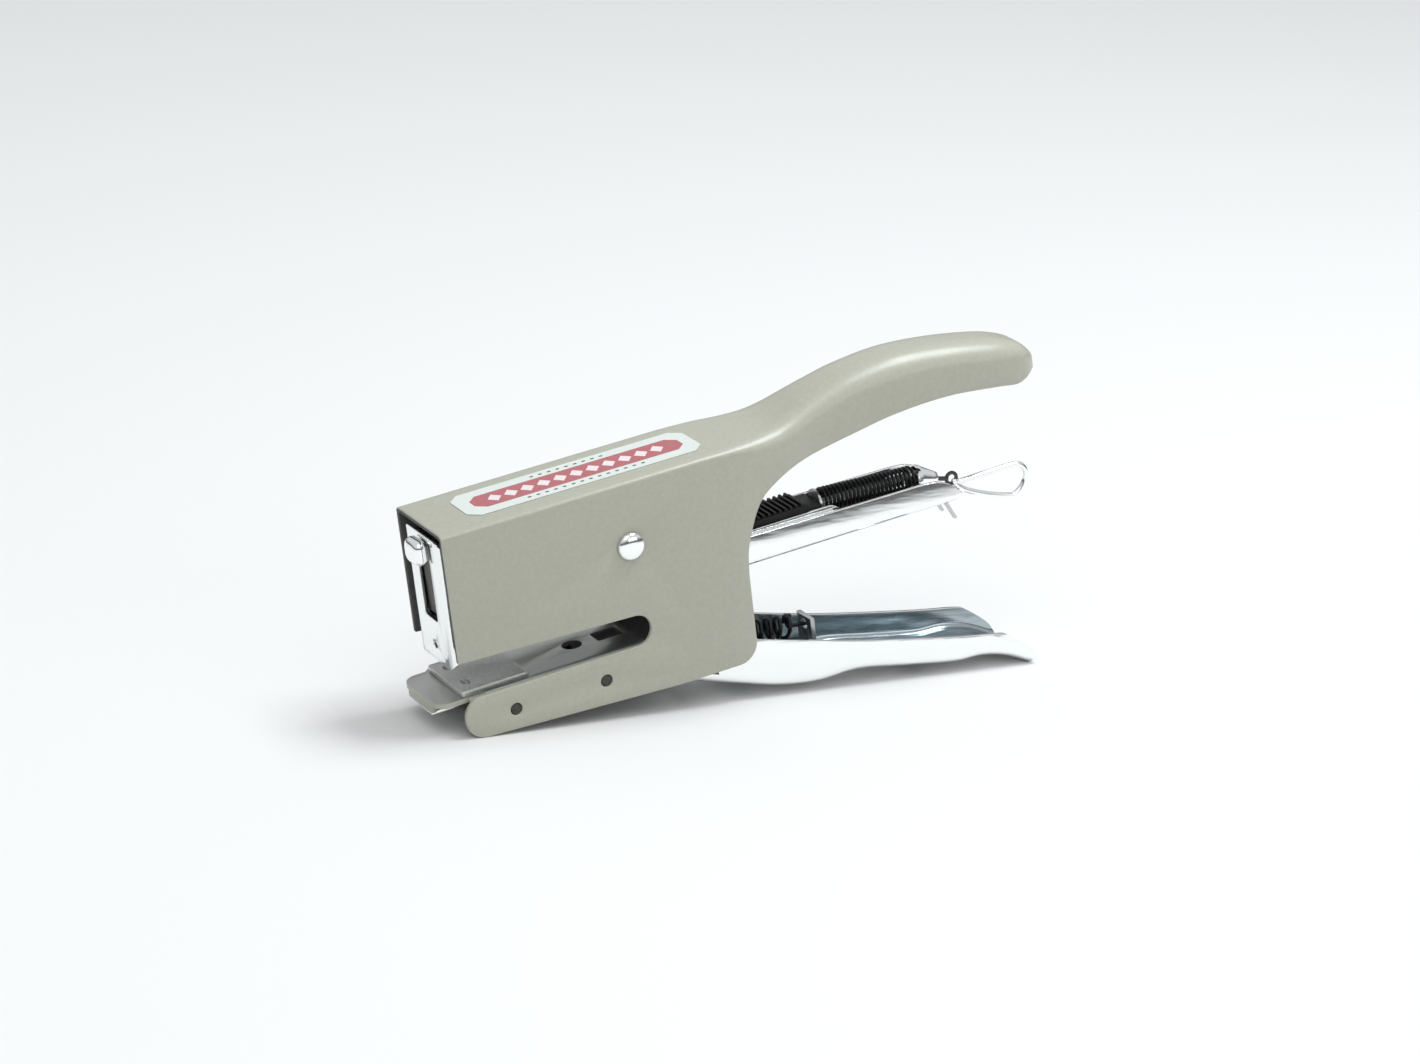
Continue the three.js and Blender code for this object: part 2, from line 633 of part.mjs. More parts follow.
/** What is cut from between the lever's side walls, down to the top of its web. */
function leverHollowOutline() {
  const shape = new THREE.Shape();
  const web = LEVER_UNDERSIDE.map(leverPoint).map((p) => new THREE.Vector2(p.x, p.y + LEVER_SHEET));
  const inFront = PIVOT_X - FAR / 2;
  shape.moveTo(inFront, -FAR);
  shape.lineTo(LEVER_WEB_START, -FAR);
  const start = web.findIndex((p) => p.x > LEVER_WEB_START);
  const before = web[start - 1];
  const share = (LEVER_WEB_START - before.x) / (web[start].x - before.x);
  shape.lineTo(LEVER_WEB_START, before.y + share * (web[start].y - before.y));
  shape.splineThru(web.slice(start));
  const tail = web[web.length - 1];
  shape.lineTo(tail.x + PAST_TAIL.back, tail.y - PAST_TAIL.drop);
  shape.lineTo(tail.x + PAST_TAIL.back, OVERCUT);
  shape.lineTo(inFront, OVERCUT);
  shape.closePath();
  return shape;
}

function makeLever(group) {
  const inner = HALF_LEVER - LEVER_SHEET;
  const body = slab(leverOutline(), -HALF_LEVER, HALF_LEVER);
  const hollow = slab(leverHollowOutline(), -inner, inner);
  const lever = without(body, hollow, pivotTool(PIVOT_RADIUS + BORE_GAP));
  piece(group, "lever", lever, CHROME);

  const bridgeHalf = inner - SEAT_GAP;
  const bar = block(
    [-RAM.reach, RAM_BRIDGE.end - RAM_BRIDGE.overlap],
    [-RAM.halfWidth, RAM.halfWidth],
    [-RAM.bottom, -RAM.top],
  );
  const bridge = block(
    [RAM_BRIDGE.start, RAM_BRIDGE.end],
    [-bridgeHalf, bridgeHalf],
    [-RAM_BRIDGE.top - RAM_BRIDGE.thickness, -RAM_BRIDGE.top],
  );
  piece(group, "driver_ram", joined(bar, bridge), BRIGHT_STEEL);

  const head = wall(
    roundedRectangle(
      [-RAM_HEAD.halfWidth, RAM_HEAD.halfWidth],
      [-RAM_HEAD.bottom, -RAM_HEAD.top],
      RAM_HEAD.corner,
    ),
    -RAM.reach - SEAT_GAP - RAM_HEAD.thickness,
    -RAM.reach - SEAT_GAP,
  );
  piece(group, "ram_head", head, CHROME);

  const anchor = SPRING_ANCHOR;
  const webTop = LEVER_SHEET + SLIDE_GAP - JAW_REAR_BOTTOM;
  const floorZ = (x) => webTop - smooth(LEVER_UNDERSIDE, 1, (x - LEVER_ROOT_X) / LEVER_REACH);
  const footEnd = anchor.x + anchor.foot;
  const bracket = slab(
    polygon([
      [anchor.x, floorZ(anchor.x)],
      [footEnd, floorZ(footEnd)],
      [footEnd, floorZ(footEnd) + anchor.sheet],
      [anchor.x + anchor.sheet, floorZ(anchor.x) + anchor.sheet],
      [anchor.x + anchor.sheet, -anchor.tip],
      [anchor.x, -anchor.tip],
    ]),
    -anchor.halfWidth,
    anchor.halfWidth,
  );
  const eye = solidOf(
    new THREE.CylinderGeometry(anchor.eye, anchor.eye, FAR, 12)
      .rotateZ(Math.PI / 2)
      .translate(anchor.x, 0, -RETURN_SPRING.rearDepth),
  );
  piece(group, "spring_anchor", bracket.subtract(eye), BRIGHT_STEEL);
}

function makeReturnSpring(group) {
  const [, pinX, pinDepth] = JAW_PINS[1];
  const from = new THREE.Vector2(pinX, -pinDepth);
  const to = new THREE.Vector2(SPRING_ANCHOR.x, -RETURN_SPRING.rearDepth);
  const along = to.clone().sub(from).normalize();
  const pointAt = (x) => {
    const reach = (x - from.x) / along.x;
    return [x, from.y + along.y * reach];
  };
  const coil = lengthBar(
    pointAt(RETURN_SPRING.front),
    pointAt(RETURN_SPRING.rear),
    RETURN_SPRING.radius,
  );
  const hooks = lengthBar(
    pointAt(pinX + JAW_PIN_RADIUS + SLIDE_GAP),
    pointAt(SPRING_ANCHOR.x - SLIDE_GAP),
    RETURN_SPRING.hookRadius,
  );
  piece(group, "return_spring", joined(coil, hooks), BLACK_STEEL);
}

// ---- Magazine ----
function channelOutline() {
  const shape = new THREE.Shape();
  const rear = CHANNEL_REAR;
  const tip = rear + CHANNEL_EAR_REACH;
  const cheek = CHANNEL_CHEEK;
  shape.moveTo(CHANNEL_FRONT, -CHANNEL_FLOOR);
  shape.lineTo(rear, -CHANNEL_FLOOR);
  const [tailStart, ...tailRound] = CHANNEL_TAIL.map(
    ([reach, depth]) => new THREE.Vector2(tip - reach, -depth),
  );
  shape.lineTo(tailStart.x, tailStart.y);
  shape.splineThru(tailRound);
  shape.lineTo(PIVOT_X + EAR_RADIUS + EAR_FOOT, -CHANNEL_RIM);
  shape.absarc(PIVOT_X, -PIVOT_DEPTH, EAR_RADIUS, -EAR_DIP, Math.PI + EAR_DIP);
  shape.lineTo(PIVOT_X - EAR_RADIUS - EAR_FOOT, -CHANNEL_RIM);
  shape.lineTo(cheek.rear + CHEEK_SLOPE, -CHANNEL_RIM);
  shape.lineTo(cheek.rear, -CHANNEL_RIM + CHEEK_SLOPE);
  shape.lineTo(cheek.rear, -cheek.depth);
  shape.lineTo(CHANNEL_FRONT, -cheek.depth);
  shape.closePath();
  return shape;
}

/** An upward-open U along x: outer half width, sheet, and its underside and rim depths. */
function gutter([fromX, toX], half, sheet, underside, rim) {
  const outer = block([fromX, toX], [-half, half], [-underside, -rim]);
  const inner = block([fromX - 1, toX + 1], [sheet - half, half - sheet], [sheet - underside, 1]);
  return outer.subtract(inner);
}

function makeMagazine(group) {
  const walls = slab(channelOutline(), -HALF_CHANNEL, HALF_CHANNEL);
  const innerHalf = HALF_CHANNEL - CHANNEL_SHEET;
  const hollow = block([-1, FAR * 2], [-innerHalf, innerHalf], [CHANNEL_SHEET - CHANNEL_FLOOR, 1]);
  const mouth = block([-1, FLOOR_FRONT], [-innerHalf, innerHalf], [-FAR, 1]);
  const tail = block([CHANNEL_REAR, FAR * 2], [-innerHalf, innerHalf], [-FAR, 1]);
  const bore = pivotTool(PIVOT_RADIUS + BORE_GAP);
  piece(group, "magazine_channel", without(walls, hollow, mouth, tail, bore), CHROME);

  const rounding = new THREE.Shape();
  rounding.moveTo(RAIL_REAR - RAIL_END_RADIUS, -RAIL_TOP);
  rounding.absarc(
    RAIL_REAR - RAIL_END_RADIUS,
    -RAIL_TOP - RAIL_END_RADIUS,
    RAIL_END_RADIUS,
    Math.PI / 2,
    0,
    true,
  );
  rounding.lineTo(RAIL_REAR + 1, -RAIL_TOP - RAIL_END_RADIUS);
  rounding.lineTo(RAIL_REAR + 1, -RAIL_TOP + 1);
  rounding.lineTo(RAIL_REAR - RAIL_END_RADIUS, -RAIL_TOP + 1);
  rounding.closePath();
  const rail = gutter([STRIP_FRONT, RAIL_REAR], HALF_RAIL, RAIL_SHEET, RAIL_BOTTOM, RAIL_TOP);
  piece(group, "inner_rail", rail.subtract(slab(rounding, -FAR, FAR)), CHROME);

  const crownTop = -RAIL_TOP + SEAT_GAP + STAPLE_WIRE;
  const strip = block([STRIP_FRONT, STRIP.rear], [-HALF_STAPLE, HALF_STAPLE], [
    crownTop - STAPLE_LEG,
    crownTop,
  ]);
  const legGap = HALF_STAPLE - STAPLE_WIRE;
  const under = block([0, FAR], [-legGap, legGap], [-FAR, crownTop - STAPLE_WIRE]);
  piece(group, "staple_strip", strip.subtract(under), BRIGHT_STEEL);
}

function makeNosePlate(group) {
  const front = NOSE_SETBACK - NOSE_SHEET;
  const face = wall(
    roundedRectangle([-HALF_NOSE, HALF_NOSE], [-NOSE.bottom, -NOSE.top], NOSE.corner),
    front,
    NOSE_SETBACK,
  );
  const flanges = [-1, 1].map((side) =>
    block(
      [front + NOSE_SHEET / 2, NOSE.flange],
      [side * HALF_NOSE, side * (HALF_NOSE - NOSE_SHEET)].sort((a, b) => a - b),
      [-CHANNEL_FLOOR, -NOSE.top - NOSE.corner],
    ),
  );
  const slot = wall(
    roundedRectangle(
      [-NOSE_SLOT.halfWidth, NOSE_SLOT.halfWidth],
      [-NOSE_SLOT.bottom, -NOSE_SLOT.top],
      NOSE_SLOT.corner,
    ),
    front - OVERCUT,
    front + NOSE_SHEET + OVERCUT,
  );
  const hole = solidOf(
    new THREE.CylinderGeometry(NOSE_HOLE.radius, NOSE_HOLE.radius, 4, 16)
      .rotateZ(Math.PI / 2)
      .translate(0, 0, -NOSE_HOLE.depth),
  );
  piece(group, "nose_plate", without(joined(face, ...flanges), slot, hole), CHROME);
}

function makeTailCatch(group) {
  const { front, halfWidth, sheet, prongWidth, drop, lean } = CATCH;
  const bed = -CHANNEL_FLOOR + CHANNEL_SHEET + SEAT_GAP;
  const bend = CHANNEL_REAR + SLIDE_GAP;
  const profile = polygon([
    [front, bed],
    [bend, bed],
    [bend + lean - sheet, bed - drop - sheet],
    [bend + lean, bed - drop],
    [bend + sheet, bed + sheet],
    [front, bed + sheet],
  ]);
  const gap = block(
    [bend - 1, FAR * 2],
    [prongWidth - halfWidth, halfWidth - prongWidth],
    [-FAR, 1],
  );
  piece(group, "tail_catch", slab(profile, -halfWidth, halfWidth).subtract(gap), BRIGHT_STEEL);
}

function makeDriver(group) {
  const half = HALF_STAPLE - SEAT_GAP;
  const back = DRIVER_FRONT + DRIVER_SHEET;
  const blade = block([DRIVER_FRONT, back], [-half, half], [-DRIVER_BOTTOM, -DRIVER_TOP]);
  const window = block(
    [-1, FAR],
    [-RAM.halfWidth - SLIDE_GAP, RAM.halfWidth + SLIDE_GAP],
    [-RAM.bottom - WINDOW_GAP, -RAM.top + WINDOW_GAP],
  );
  piece(group, "driver_blade", blade.subtract(window), BRIGHT_STEEL);
}

function makeFollower(group) {
  const front = STRIP.rear + SLIDE_GAP;
  const half = HALF_RAIL - RAIL_SHEET - SLIDE_GAP;
  const body = block(
    [front, FOLLOWER.rear],
    [-half, half],
    [-RAIL_TOP - FOLLOWER.drop, -FOLLOWER.top],
  );
  const ribPitch = (FOLLOWER.rear - front) / (FOLLOWER.ribs + 1);
  const grooves = Array.from({ length: FOLLOWER.ribs }, (_, i) => {
    const x = front + ribPitch * (i + 1);
    return block([x - ribPitch / 5, x + ribPitch / 5], [-FAR, FAR], [
      -FOLLOWER.top - FOLLOWER.ribDepth,
      OVERCUT,
    ]);
  });
  const bore = lengthBar([0, -ROD.depth], [FAR * 2, -ROD.depth], ROD.radius + SLIDE_GAP);
  piece(group, "follower", without(body, bore, ...grooves), BLACK_STEEL);
}

function makeFeedRod(group) {
  const axis = -ROD.depth;
  piece(group, "feed_rod", lengthBar([ROD.front, axis], [ROD.rear, axis], ROD.radius), BRIGHT_STEEL);
  const stop = lengthBar(
    [ROD.front - SEAT_GAP - ROD_STOP.thickness, axis],
    [ROD.front - SEAT_GAP, axis],
    ROD_STOP.radius,
  );
  piece(group, "rod_stop", stop, BRIGHT_STEEL);

  const clip = END_CLIP;
  const mouth = [clip.front, -FEED_SPRING.rearDepth];
  const snout = [clip.rear, -clip.rearDepth];
  const fall = (clip.rearDepth - FEED_SPRING.rearDepth) / (clip.rear - clip.front);
  const cone = lengthBar(mouth, snout, FEED_SPRING.radius, clip.rearRadius);
  const bore = lengthBar([0, axis], [ROD.rear + SEAT_GAP, axis], ROD.radius + SEAT_GAP);
  const narrowing = (FEED_SPRING.radius - clip.rearRadius) / (clip.rear - clip.front);
  const cup = lengthBar(
    [clip.front - OVERCUT, fall * OVERCUT - FEED_SPRING.rearDepth],
    [clip.front + clip.cup, -fall * clip.cup - FEED_SPRING.rearDepth],
    FEED_SPRING.radius - clip.shell,
    FEED_SPRING.radius - clip.shell - narrowing * clip.cup,
  );
  piece(group, "end_clip", without(cone, bore, cup), CHROME);

  const ring = new THREE.Shape();
  ring.absarc(EYE.x, -EYE.depth, EYE.radius + EYE.wire, 0, 2 * Math.PI);
  const opening = new THREE.Path();
  opening.absarc(EYE.x, -EYE.depth, EYE.radius - EYE.wire, 0, 2 * Math.PI);
  ring.holes.push(opening);
  const shankStart = clip.rear + SEAT_GAP;
  const shank = lengthBar(
    [shankStart, -clip.rearDepth - fall * SEAT_GAP],
    [EYE.x - EYE.radius, -EYE.depth],
    EYE.shank,
  );
  piece(group, "loop_eye", joined(slab(ring, -EYE.wire, EYE.wire), shank), BLUED_STEEL);
  piece(group, "pull_loop", wire(LOOP_PATH, LOOP_WIRE_RADIUS, 30), CHROME);
}

function makeFeedSpring(group) {
  const { radius, wire: gauge, front, rear, frontDepth, rearDepth } = FEED_SPRING;
  const tube = lengthBar([front, -frontDepth], [rear, -rearDepth], radius);
  const slope = (rearDepth - frontDepth) / (rear - front);
  const bore = lengthBar(
    [front - 1, slope - frontDepth],
    [rear + 1, -rearDepth - slope],
    radius - gauge,
  );
  piece(group, "feed_spring", tube.subtract(bore), BLACK_STEEL);

  const collarFront = FOLLOWER.rear + SEAT_GAP;
  const collar = lengthBar(
    [collarFront, -frontDepth],
    [collarFront + COLLAR_THICKNESS, -frontDepth],
    radius,
  );
  const hole = lengthBar([0, -ROD.depth], [FAR * 2, -ROD.depth], ROD.radius + SLIDE_GAP);
  piece(group, "spring_collar", collar.subtract(hole), BRIGHT_STEEL);
}

// ---- Assembly ----
const part = new THREE.Group();
const makers = [
  makeCasing,
  makeLabel,
  makePivot,
  makeAnvil,
  makeLever,
  makeReturnSpring,
  makeMagazine,
  makeNosePlate,
  makeTailCatch,
  makeDriver,
  makeFollower,
  makeFeedRod,
  makeFeedSpring,
];
for (const make of makers) make(part);

// The stance: a line under the jaw's round front corner that also touches the lever's tail.
const tail = leverPoint(LEVER_UNDERSIDE[LEVER_UNDERSIDE.length - 1]);
const corner = new THREE.Vector2(JAW_CORNER_RADIUS, JAW_CORNER_RADIUS - JAW_FRONT_BOTTOM);
const slope = Math.atan2(corner.y - tail.y, tail.x - corner.x);
const pitch = slope - Math.asin(JAW_CORNER_RADIUS / corner.distanceTo(tail));
part.rotation.y = -pitch;
part.updateMatrixWorld(true);
const box = new THREE.Box3().setFromObject(part, true);
part.position.set(-(box.min.x + box.max.x) / 2, -(box.min.y + box.max.y) / 2, -box.min.z);

export default part;
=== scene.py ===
"""A hand plier stapler: enamelled steel casing and fixed handle, chromed lever, magazine and feed rod.

Shapes are drawn in the casing's own frame in millimetres: x from the nose to the handle's tip, y to the
far side, z up, with z = 0 just under the casing's flat top.
"""

import json
import math

import bmesh
import bpy
from mathutils import Matrix, Vector


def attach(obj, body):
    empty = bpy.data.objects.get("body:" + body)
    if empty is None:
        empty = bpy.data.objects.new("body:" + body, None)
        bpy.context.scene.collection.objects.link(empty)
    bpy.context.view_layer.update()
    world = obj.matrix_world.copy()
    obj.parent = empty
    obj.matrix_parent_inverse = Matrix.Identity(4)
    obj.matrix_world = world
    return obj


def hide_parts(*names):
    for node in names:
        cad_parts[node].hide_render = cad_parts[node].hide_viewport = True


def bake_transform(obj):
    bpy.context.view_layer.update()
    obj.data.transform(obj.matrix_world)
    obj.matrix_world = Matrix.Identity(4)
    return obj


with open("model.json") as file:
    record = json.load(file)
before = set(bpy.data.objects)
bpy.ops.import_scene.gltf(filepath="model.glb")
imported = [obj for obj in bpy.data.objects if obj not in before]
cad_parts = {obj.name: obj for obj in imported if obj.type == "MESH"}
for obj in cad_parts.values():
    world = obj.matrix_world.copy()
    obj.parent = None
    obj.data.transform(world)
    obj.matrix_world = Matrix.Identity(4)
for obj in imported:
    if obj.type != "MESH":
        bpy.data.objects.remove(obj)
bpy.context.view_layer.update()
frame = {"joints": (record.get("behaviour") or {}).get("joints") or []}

# ---------------------------------------------------------------- the casing's frame
MM = 0.001
PIVOT = (45.1, -14.7)  # x and z of the main rivet in the casing's frame

joints = {joint["name"]: joint for joint in frame["joints"]}
along = Vector(joints["feed_rod_pull"]["axis"]).normalized()
across = Vector((0, 1, 0))
upward = along.cross(across)
pivot_place = Vector(joints["lever_squeeze"]["pos_m"])
origin = pivot_place - (along * PIVOT[0] + upward * PIVOT[1]) * MM
tilt = Matrix((along, across, upward)).transposed().to_4x4()
SEAT = Matrix.Translation(origin) @ tilt @ Matrix.Scale(MM, 4)
PITCH = math.atan2(along.z, along.x)


# ---------------------------------------------------------------- camera and light
FRAME_WIDTH = 1420
SENSOR = 36.0
CAMERA = {
    "azimuth": 25.74,
    "elevation": 22.96,
    "roll": -6.62,
    "distance": 990.8,
    "focal": 4318.3,
    "target": (70.0, -1.0, -25.0),
    "offset": (0.1, 2.5),
}
BACKDROP = {"heights": (0.14, 0.36), "greys": (0.2, 1.0), "strength": 0.66}
FLOOR = {"half": 6.0, "grey": 0.76, "roughness": 0.9}
LIGHTS = [
    # name, place, aim, size, power, colour
    ("key", (-0.55, -0.75, 1.25), (0, 0, 0.03), (0.9, 0.9), 4.6, (1, 1, 1)),
    ("fill", (0.5, -1.3, 0.5), (0, 0, 0.03), (1.0, 0.5), 1.8, (1, 1, 1)),
    ("overhead", (0.45, -0.1, 1.2), (0.04, 0, 0.06), (0.6, 0.5), 10.5, (0.94, 0.98, 1.0)),
]


def make_camera():
    """The camera, whose place is given round a target in the casing's frame."""
    az, el, roll = (math.radians(CAMERA[k]) for k in ("azimuth", "elevation", "roll"))
    back = Vector((-math.sin(az) * math.cos(el), -math.cos(az) * math.cos(el), math.sin(el)))
    right = (-back).cross(Vector((0, 0, 1))).normalized()
    up = right.cross(-back)
    side = right * math.cos(roll) + up * math.sin(roll)
    top = up * math.cos(roll) - right * math.sin(roll)
    place = Vector(CAMERA["target"]) + back * CAMERA["distance"]
    place += side * CAMERA["offset"][0] + top * CAMERA["offset"][1]
    turn = SEAT.to_3x3().normalized()
    data = bpy.data.cameras.new("camera")
    data.sensor_width = SENSOR
    data.lens = CAMERA["focal"] / FRAME_WIDTH * SENSOR
    data.clip_start = 0.01
    data.clip_end = 50
    camera = bpy.data.objects.new("camera", data)
    axes = Matrix((turn @ side, turn @ top, turn @ back)).transposed().to_4x4()
    camera.matrix_world = Matrix.Translation(SEAT @ place) @ axes
    bpy.context.scene.collection.objects.link(camera)
    bpy.context.scene.camera = camera


def area_light(name, place, aim, size, power, colour):
    data = bpy.data.lights.new(name, "AREA")
    data.shape = "RECTANGLE"
    data.size, data.size_y = size
    data.energy = power
    data.color = colour
    lamp = bpy.data.objects.new(name, data)
    lamp.location = place
    lamp.rotation_euler = (Vector(aim) - Vector(place)).to_track_quat("-Z", "Y").to_euler()
    bpy.context.scene.collection.objects.link(lamp)


def make_backdrop():
    """A plain sky, dull near the horizon and pale above, for bright metal to reflect."""
    world = bpy.data.worlds.new("studio")
    bpy.context.scene.world = world
    world.use_nodes = True
    tree = world.node_tree
    backdrop = tree.nodes["Background"]
    ramp = tree.nodes.new("ShaderNodeValToRGB")
    place = tree.nodes.new("ShaderNodeTexCoord")
    split = tree.nodes.new("ShaderNodeSeparateXYZ")
    tree.links.new(place.outputs["Generated"], split.inputs[0])
    tree.links.new(split.outputs["Z"], ramp.inputs[0])
    tree.links.new(ramp.outputs[0], backdrop.inputs["Color"])
    for element, height, grey in zip(ramp.color_ramp.elements, BACKDROP["heights"], BACKDROP["greys"]):
        element.position = height
        element.color = (grey * 0.98, grey, grey * 1.01, 1)
    backdrop.inputs["Strength"].default_value = BACKDROP["strength"]


def make_floor():
    mesh = bpy.data.meshes.new("floor")
    half = FLOOR["half"]
    corners = [(-half, -half, 0), (half, -half, 0), (half, half, 0), (-half, half, 0)]
    mesh.from_pydata(corners, [], [(0, 1, 2, 3)])
    floor = bpy.data.objects.new("floor", mesh)
    bpy.context.scene.collection.objects.link(floor)
    paper = bpy.data.materials.new("pale_floor")
    paper.use_nodes = True
    shader = paper.node_tree.nodes["Principled BSDF"]
    shader.inputs["Base Color"].default_value = (FLOOR["grey"], FLOOR["grey"], FLOOR["grey"], 1)
    shader.inputs["Roughness"].default_value = FLOOR["roughness"]
    mesh.materials.append(paper)


def make_studio():
    make_backdrop()
    make_floor()
    for light in LIGHTS:
        area_light(*light)
    bpy.context.scene.view_settings.view_transform = "Standard"


# ---------------------------------------------------------------- materials
def new_material(name, colour, roughness, metallic=0.0, coat=0.0):
    material = bpy.data.materials.new(name)
    material.use_nodes = True
    shader = material.node_tree.nodes["Principled BSDF"]
    shader.inputs["Base Color"].default_value = (*colour, 1)
    shader.inputs["Roughness"].default_value = roughness
    shader.inputs["Metallic"].default_value = metallic
    shader.inputs["Coat Weight"].default_value = coat
    shader.inputs["Coat Roughness"].default_value = 0.15
    return material, shader


def noise(material, scale, detail=2.0, stretch=(1, 1, 1)):
    """Noise over the object's own coordinates, in metres, stretched along the axes."""
    nodes, links = material.node_tree.nodes, material.node_tree.links
    place = nodes.new("ShaderNodeTexCoord")
    mapping = nodes.new("ShaderNodeMapping")
    mapping.inputs["Rotation"].default_value = (0, PITCH, 0)
    mapping.inputs["Scale"].default_value = stretch
    texture = nodes.new("ShaderNodeTexNoise")
    texture.inputs["Scale"].default_value = scale
    texture.inputs["Detail"].default_value = detail
    links.new(place.outputs["Object"], mapping.inputs["Vector"])
    links.new(mapping.outputs["Vector"], texture.inputs["Vector"])
    return texture.outputs["Fac"]


def spread(material, factor, low, high):
    """A factor's middle half, stretched to run from one value to another."""
    span = material.node_tree.nodes.new("ShaderNodeMapRange")
    span.inputs["From Min"].default_value = 0.25
    span.inputs["From Max"].default_value = 0.75
    span.inputs["To Min"].default_value = low
    span.inputs["To Max"].default_value = high
    material.node_tree.links.new(factor, span.inputs["Value"])
    return span.outputs["Result"]


def two_tone(material, shader, factor, low, high):
    """Base colour that wanders between two tones."""
    mix = material.node_tree.nodes.new("ShaderNodeMix")
    mix.data_type = "RGBA"
    mix.inputs["A"].default_value = (*low, 1)
    mix.inputs["B"].default_value = (*high, 1)
    material.node_tree.links.new(factor, mix.inputs["Factor"])
    material.node_tree.links.new(mix.outputs["Result"], shader.inputs["Base Color"])


def relief(material, shader, height, strength, distance):
    """Fine relief from a height field; distance is in metres."""
    bump = material.node_tree.nodes.new("ShaderNodeBump")
    bump.inputs["Strength"].default_value = strength
    bump.inputs["Distance"].default_value = distance
    material.node_tree.links.new(height, bump.inputs["Height"])
    material.node_tree.links.new(bump.outputs["Normal"], shader.inputs["Normal"])


def enamel(name, low, high, roughness=0.4, coat=0.42):
    """Stove enamel with fine orange peel and faint mottling."""
    material, shader = new_material(name, high, roughness, coat=coat)
    shader.inputs["Coat Roughness"].default_value = 0.26
    two_tone(material, shader, spread(material, noise(material, 900, 4), 0, 1), low, high)
    rough = spread(material, noise(material, 160, 3), roughness * 0.88, roughness * 1.15)
    material.node_tree.links.new(rough, shader.inputs["Roughness"])
    relief(material, shader, noise(material, 1500, 2), 0.35, 0.00012)
    return material


def chrome(name="bright_chrome", colour=(0.94, 0.955, 0.95), roughness=0.09, streaks=(1, 6, 6)):
    """Chrome plate over pressed sheet: a slight haze and drawing lines along the pressing."""
    material, shader = new_material(name, colour, roughness, metallic=1.0)
    rough = spread(material, noise(material, 220, 3, streaks), roughness * 0.6, roughness * 1.7)
    material.node_tree.links.new(rough, shader.inputs["Roughness"])
    relief(material, shader, noise(material, 60, 2, streaks), 0.12, 0.0004)
    return material


def brushed(name, low, high, roughness, metallic=1.0, streaks=(1, 20, 20)):
    """Plain or blued steel with fine grinding lines."""
    material, shader = new_material(name, low, roughness, metallic=metallic)
    grain = noise(material, 500, 4, streaks)
    two_tone(material, shader, spread(material, grain, 0, 1), low, high)
    rough = spread(material, grain, roughness * 0.75, roughness * 1.3)
    material.node_tree.links.new(rough, shader.inputs["Roughness"])
    relief(material, shader, grain, 0.2, 0.00006)
    return material


def ink(name, colour, roughness=0.45):
    """Print or film on the label, with the slight unevenness of screen printing."""
    material, shader = new_material(name, colour, roughness, coat=0.3)
    darker = tuple(c * 0.93 for c in colour)
    two_tone(material, shader, spread(material, noise(material, 700, 3), 0, 1), darker, colour)
    return material


ENAMEL = enamel("casing_enamel", (0.37, 0.373, 0.303), (0.415, 0.415, 0.345))
# Near-black enamel painted on faces inside the casing, the anvil's flanges and the lever's front, as
# painted shade.
PAINTED_SHADE = enamel("painted_shade", (0.045, 0.047, 0.043), (0.075, 0.077, 0.07), 0.6, 0.0)
CHROME = chrome()
# A darker copy of the chrome, put on the lever's inner faces as painted shade and painted reflection.
SHADED_LEVER_CHROME = chrome("shaded_lever_chrome", (0.4, 0.46, 0.49), 0.16)
NOSE_CHROME = chrome("nose_chrome", (0.9, 0.92, 0.91), 0.16, (6, 6, 1))
BRIGHT = brushed("bright_steel", (0.5, 0.51, 0.5), (0.66, 0.67, 0.66), 0.3)
WIRE_STEEL = brushed("staple_wire", (0.62, 0.63, 0.62), (0.75, 0.76, 0.75), 0.22)
BLUED = brushed("blued_steel", (0.05, 0.05, 0.047), (0.12, 0.12, 0.11), 0.42)
BLACK = brushed("black_steel", (0.008, 0.008, 0.009), (0.02, 0.02, 0.021), 0.4, metallic=0.55)
ANVIL_STEEL = brushed("anvil_steel", (0.44, 0.45, 0.43), (0.66, 0.67, 0.65), 0.4, 0.75, (6, 1, 6))
BED_STEEL = brushed("bed_steel", (0.42, 0.43, 0.41), (0.56, 0.57, 0.55), 0.36)
FILM = ink("label_film", (0.68, 0.73, 0.695), 0.35)
RED_INK = ink("label_red", (0.42, 0.11, 0.125))
PALE_INK = ink("label_pale", (0.8, 0.7, 0.7))
DARK_INK = ink("label_dark", (0.05, 0.055, 0.055))


# ---------------------------------------------------------------- outlines
def arc(x, z, radius, start, end, steps=10):
    """Points on an arc, angles in degrees."""
    turns = [math.radians(start + (end - start) * i / steps) for i in range(steps + 1)]
    return [(x + radius * math.cos(t), z + radius * math.sin(t)) for t in turns]


def spline(points, steps=8):
    """A smooth line through points, steps to a stretch."""
    line = []
    last = len(points) - 1
    for i in range(last):
        p0, p1, p2, p3 = (points[min(max(i + k, 0), last)] for k in (-1, 0, 1, 2))
        for s in range(steps):
            t = s / steps
            line.append(
                tuple(
                    0.5
                    * (
                        2 * b
                        + (c - a) * t
                        + (2 * a - 5 * b + 4 * c - d) * t * t
                        + (3 * b - a - 3 * c + d) * t * t * t
                    )
                    for a, b, c, d in zip(p0, p1, p2, p3)
                )
            )
    return line + [tuple(points[last])]


def smooth(table, column, where):
    """A smooth value through a table's rows, whose first column is where."""
    last = len(table) - 1
    k = 0
    while k < last - 1 and table[k + 1][0] <= where:
        k += 1

    def slope(j):
        a, b = table[max(j - 1, 0)], table[min(j + 1, last)]
        return (b[column] - a[column]) / (b[0] - a[0])

    span = table[k + 1][0] - table[k][0]
    t = min(max((where - table[k][0]) / span, 0), 1)
    rise = t * t * (3 - 2 * t)
    pull = span * (slope(k) * t * (1 - t) ** 2 - slope(k + 1) * t * t * (1 - t))
    return table[k][column] * (1 - rise) + table[k + 1][column] * rise + pull


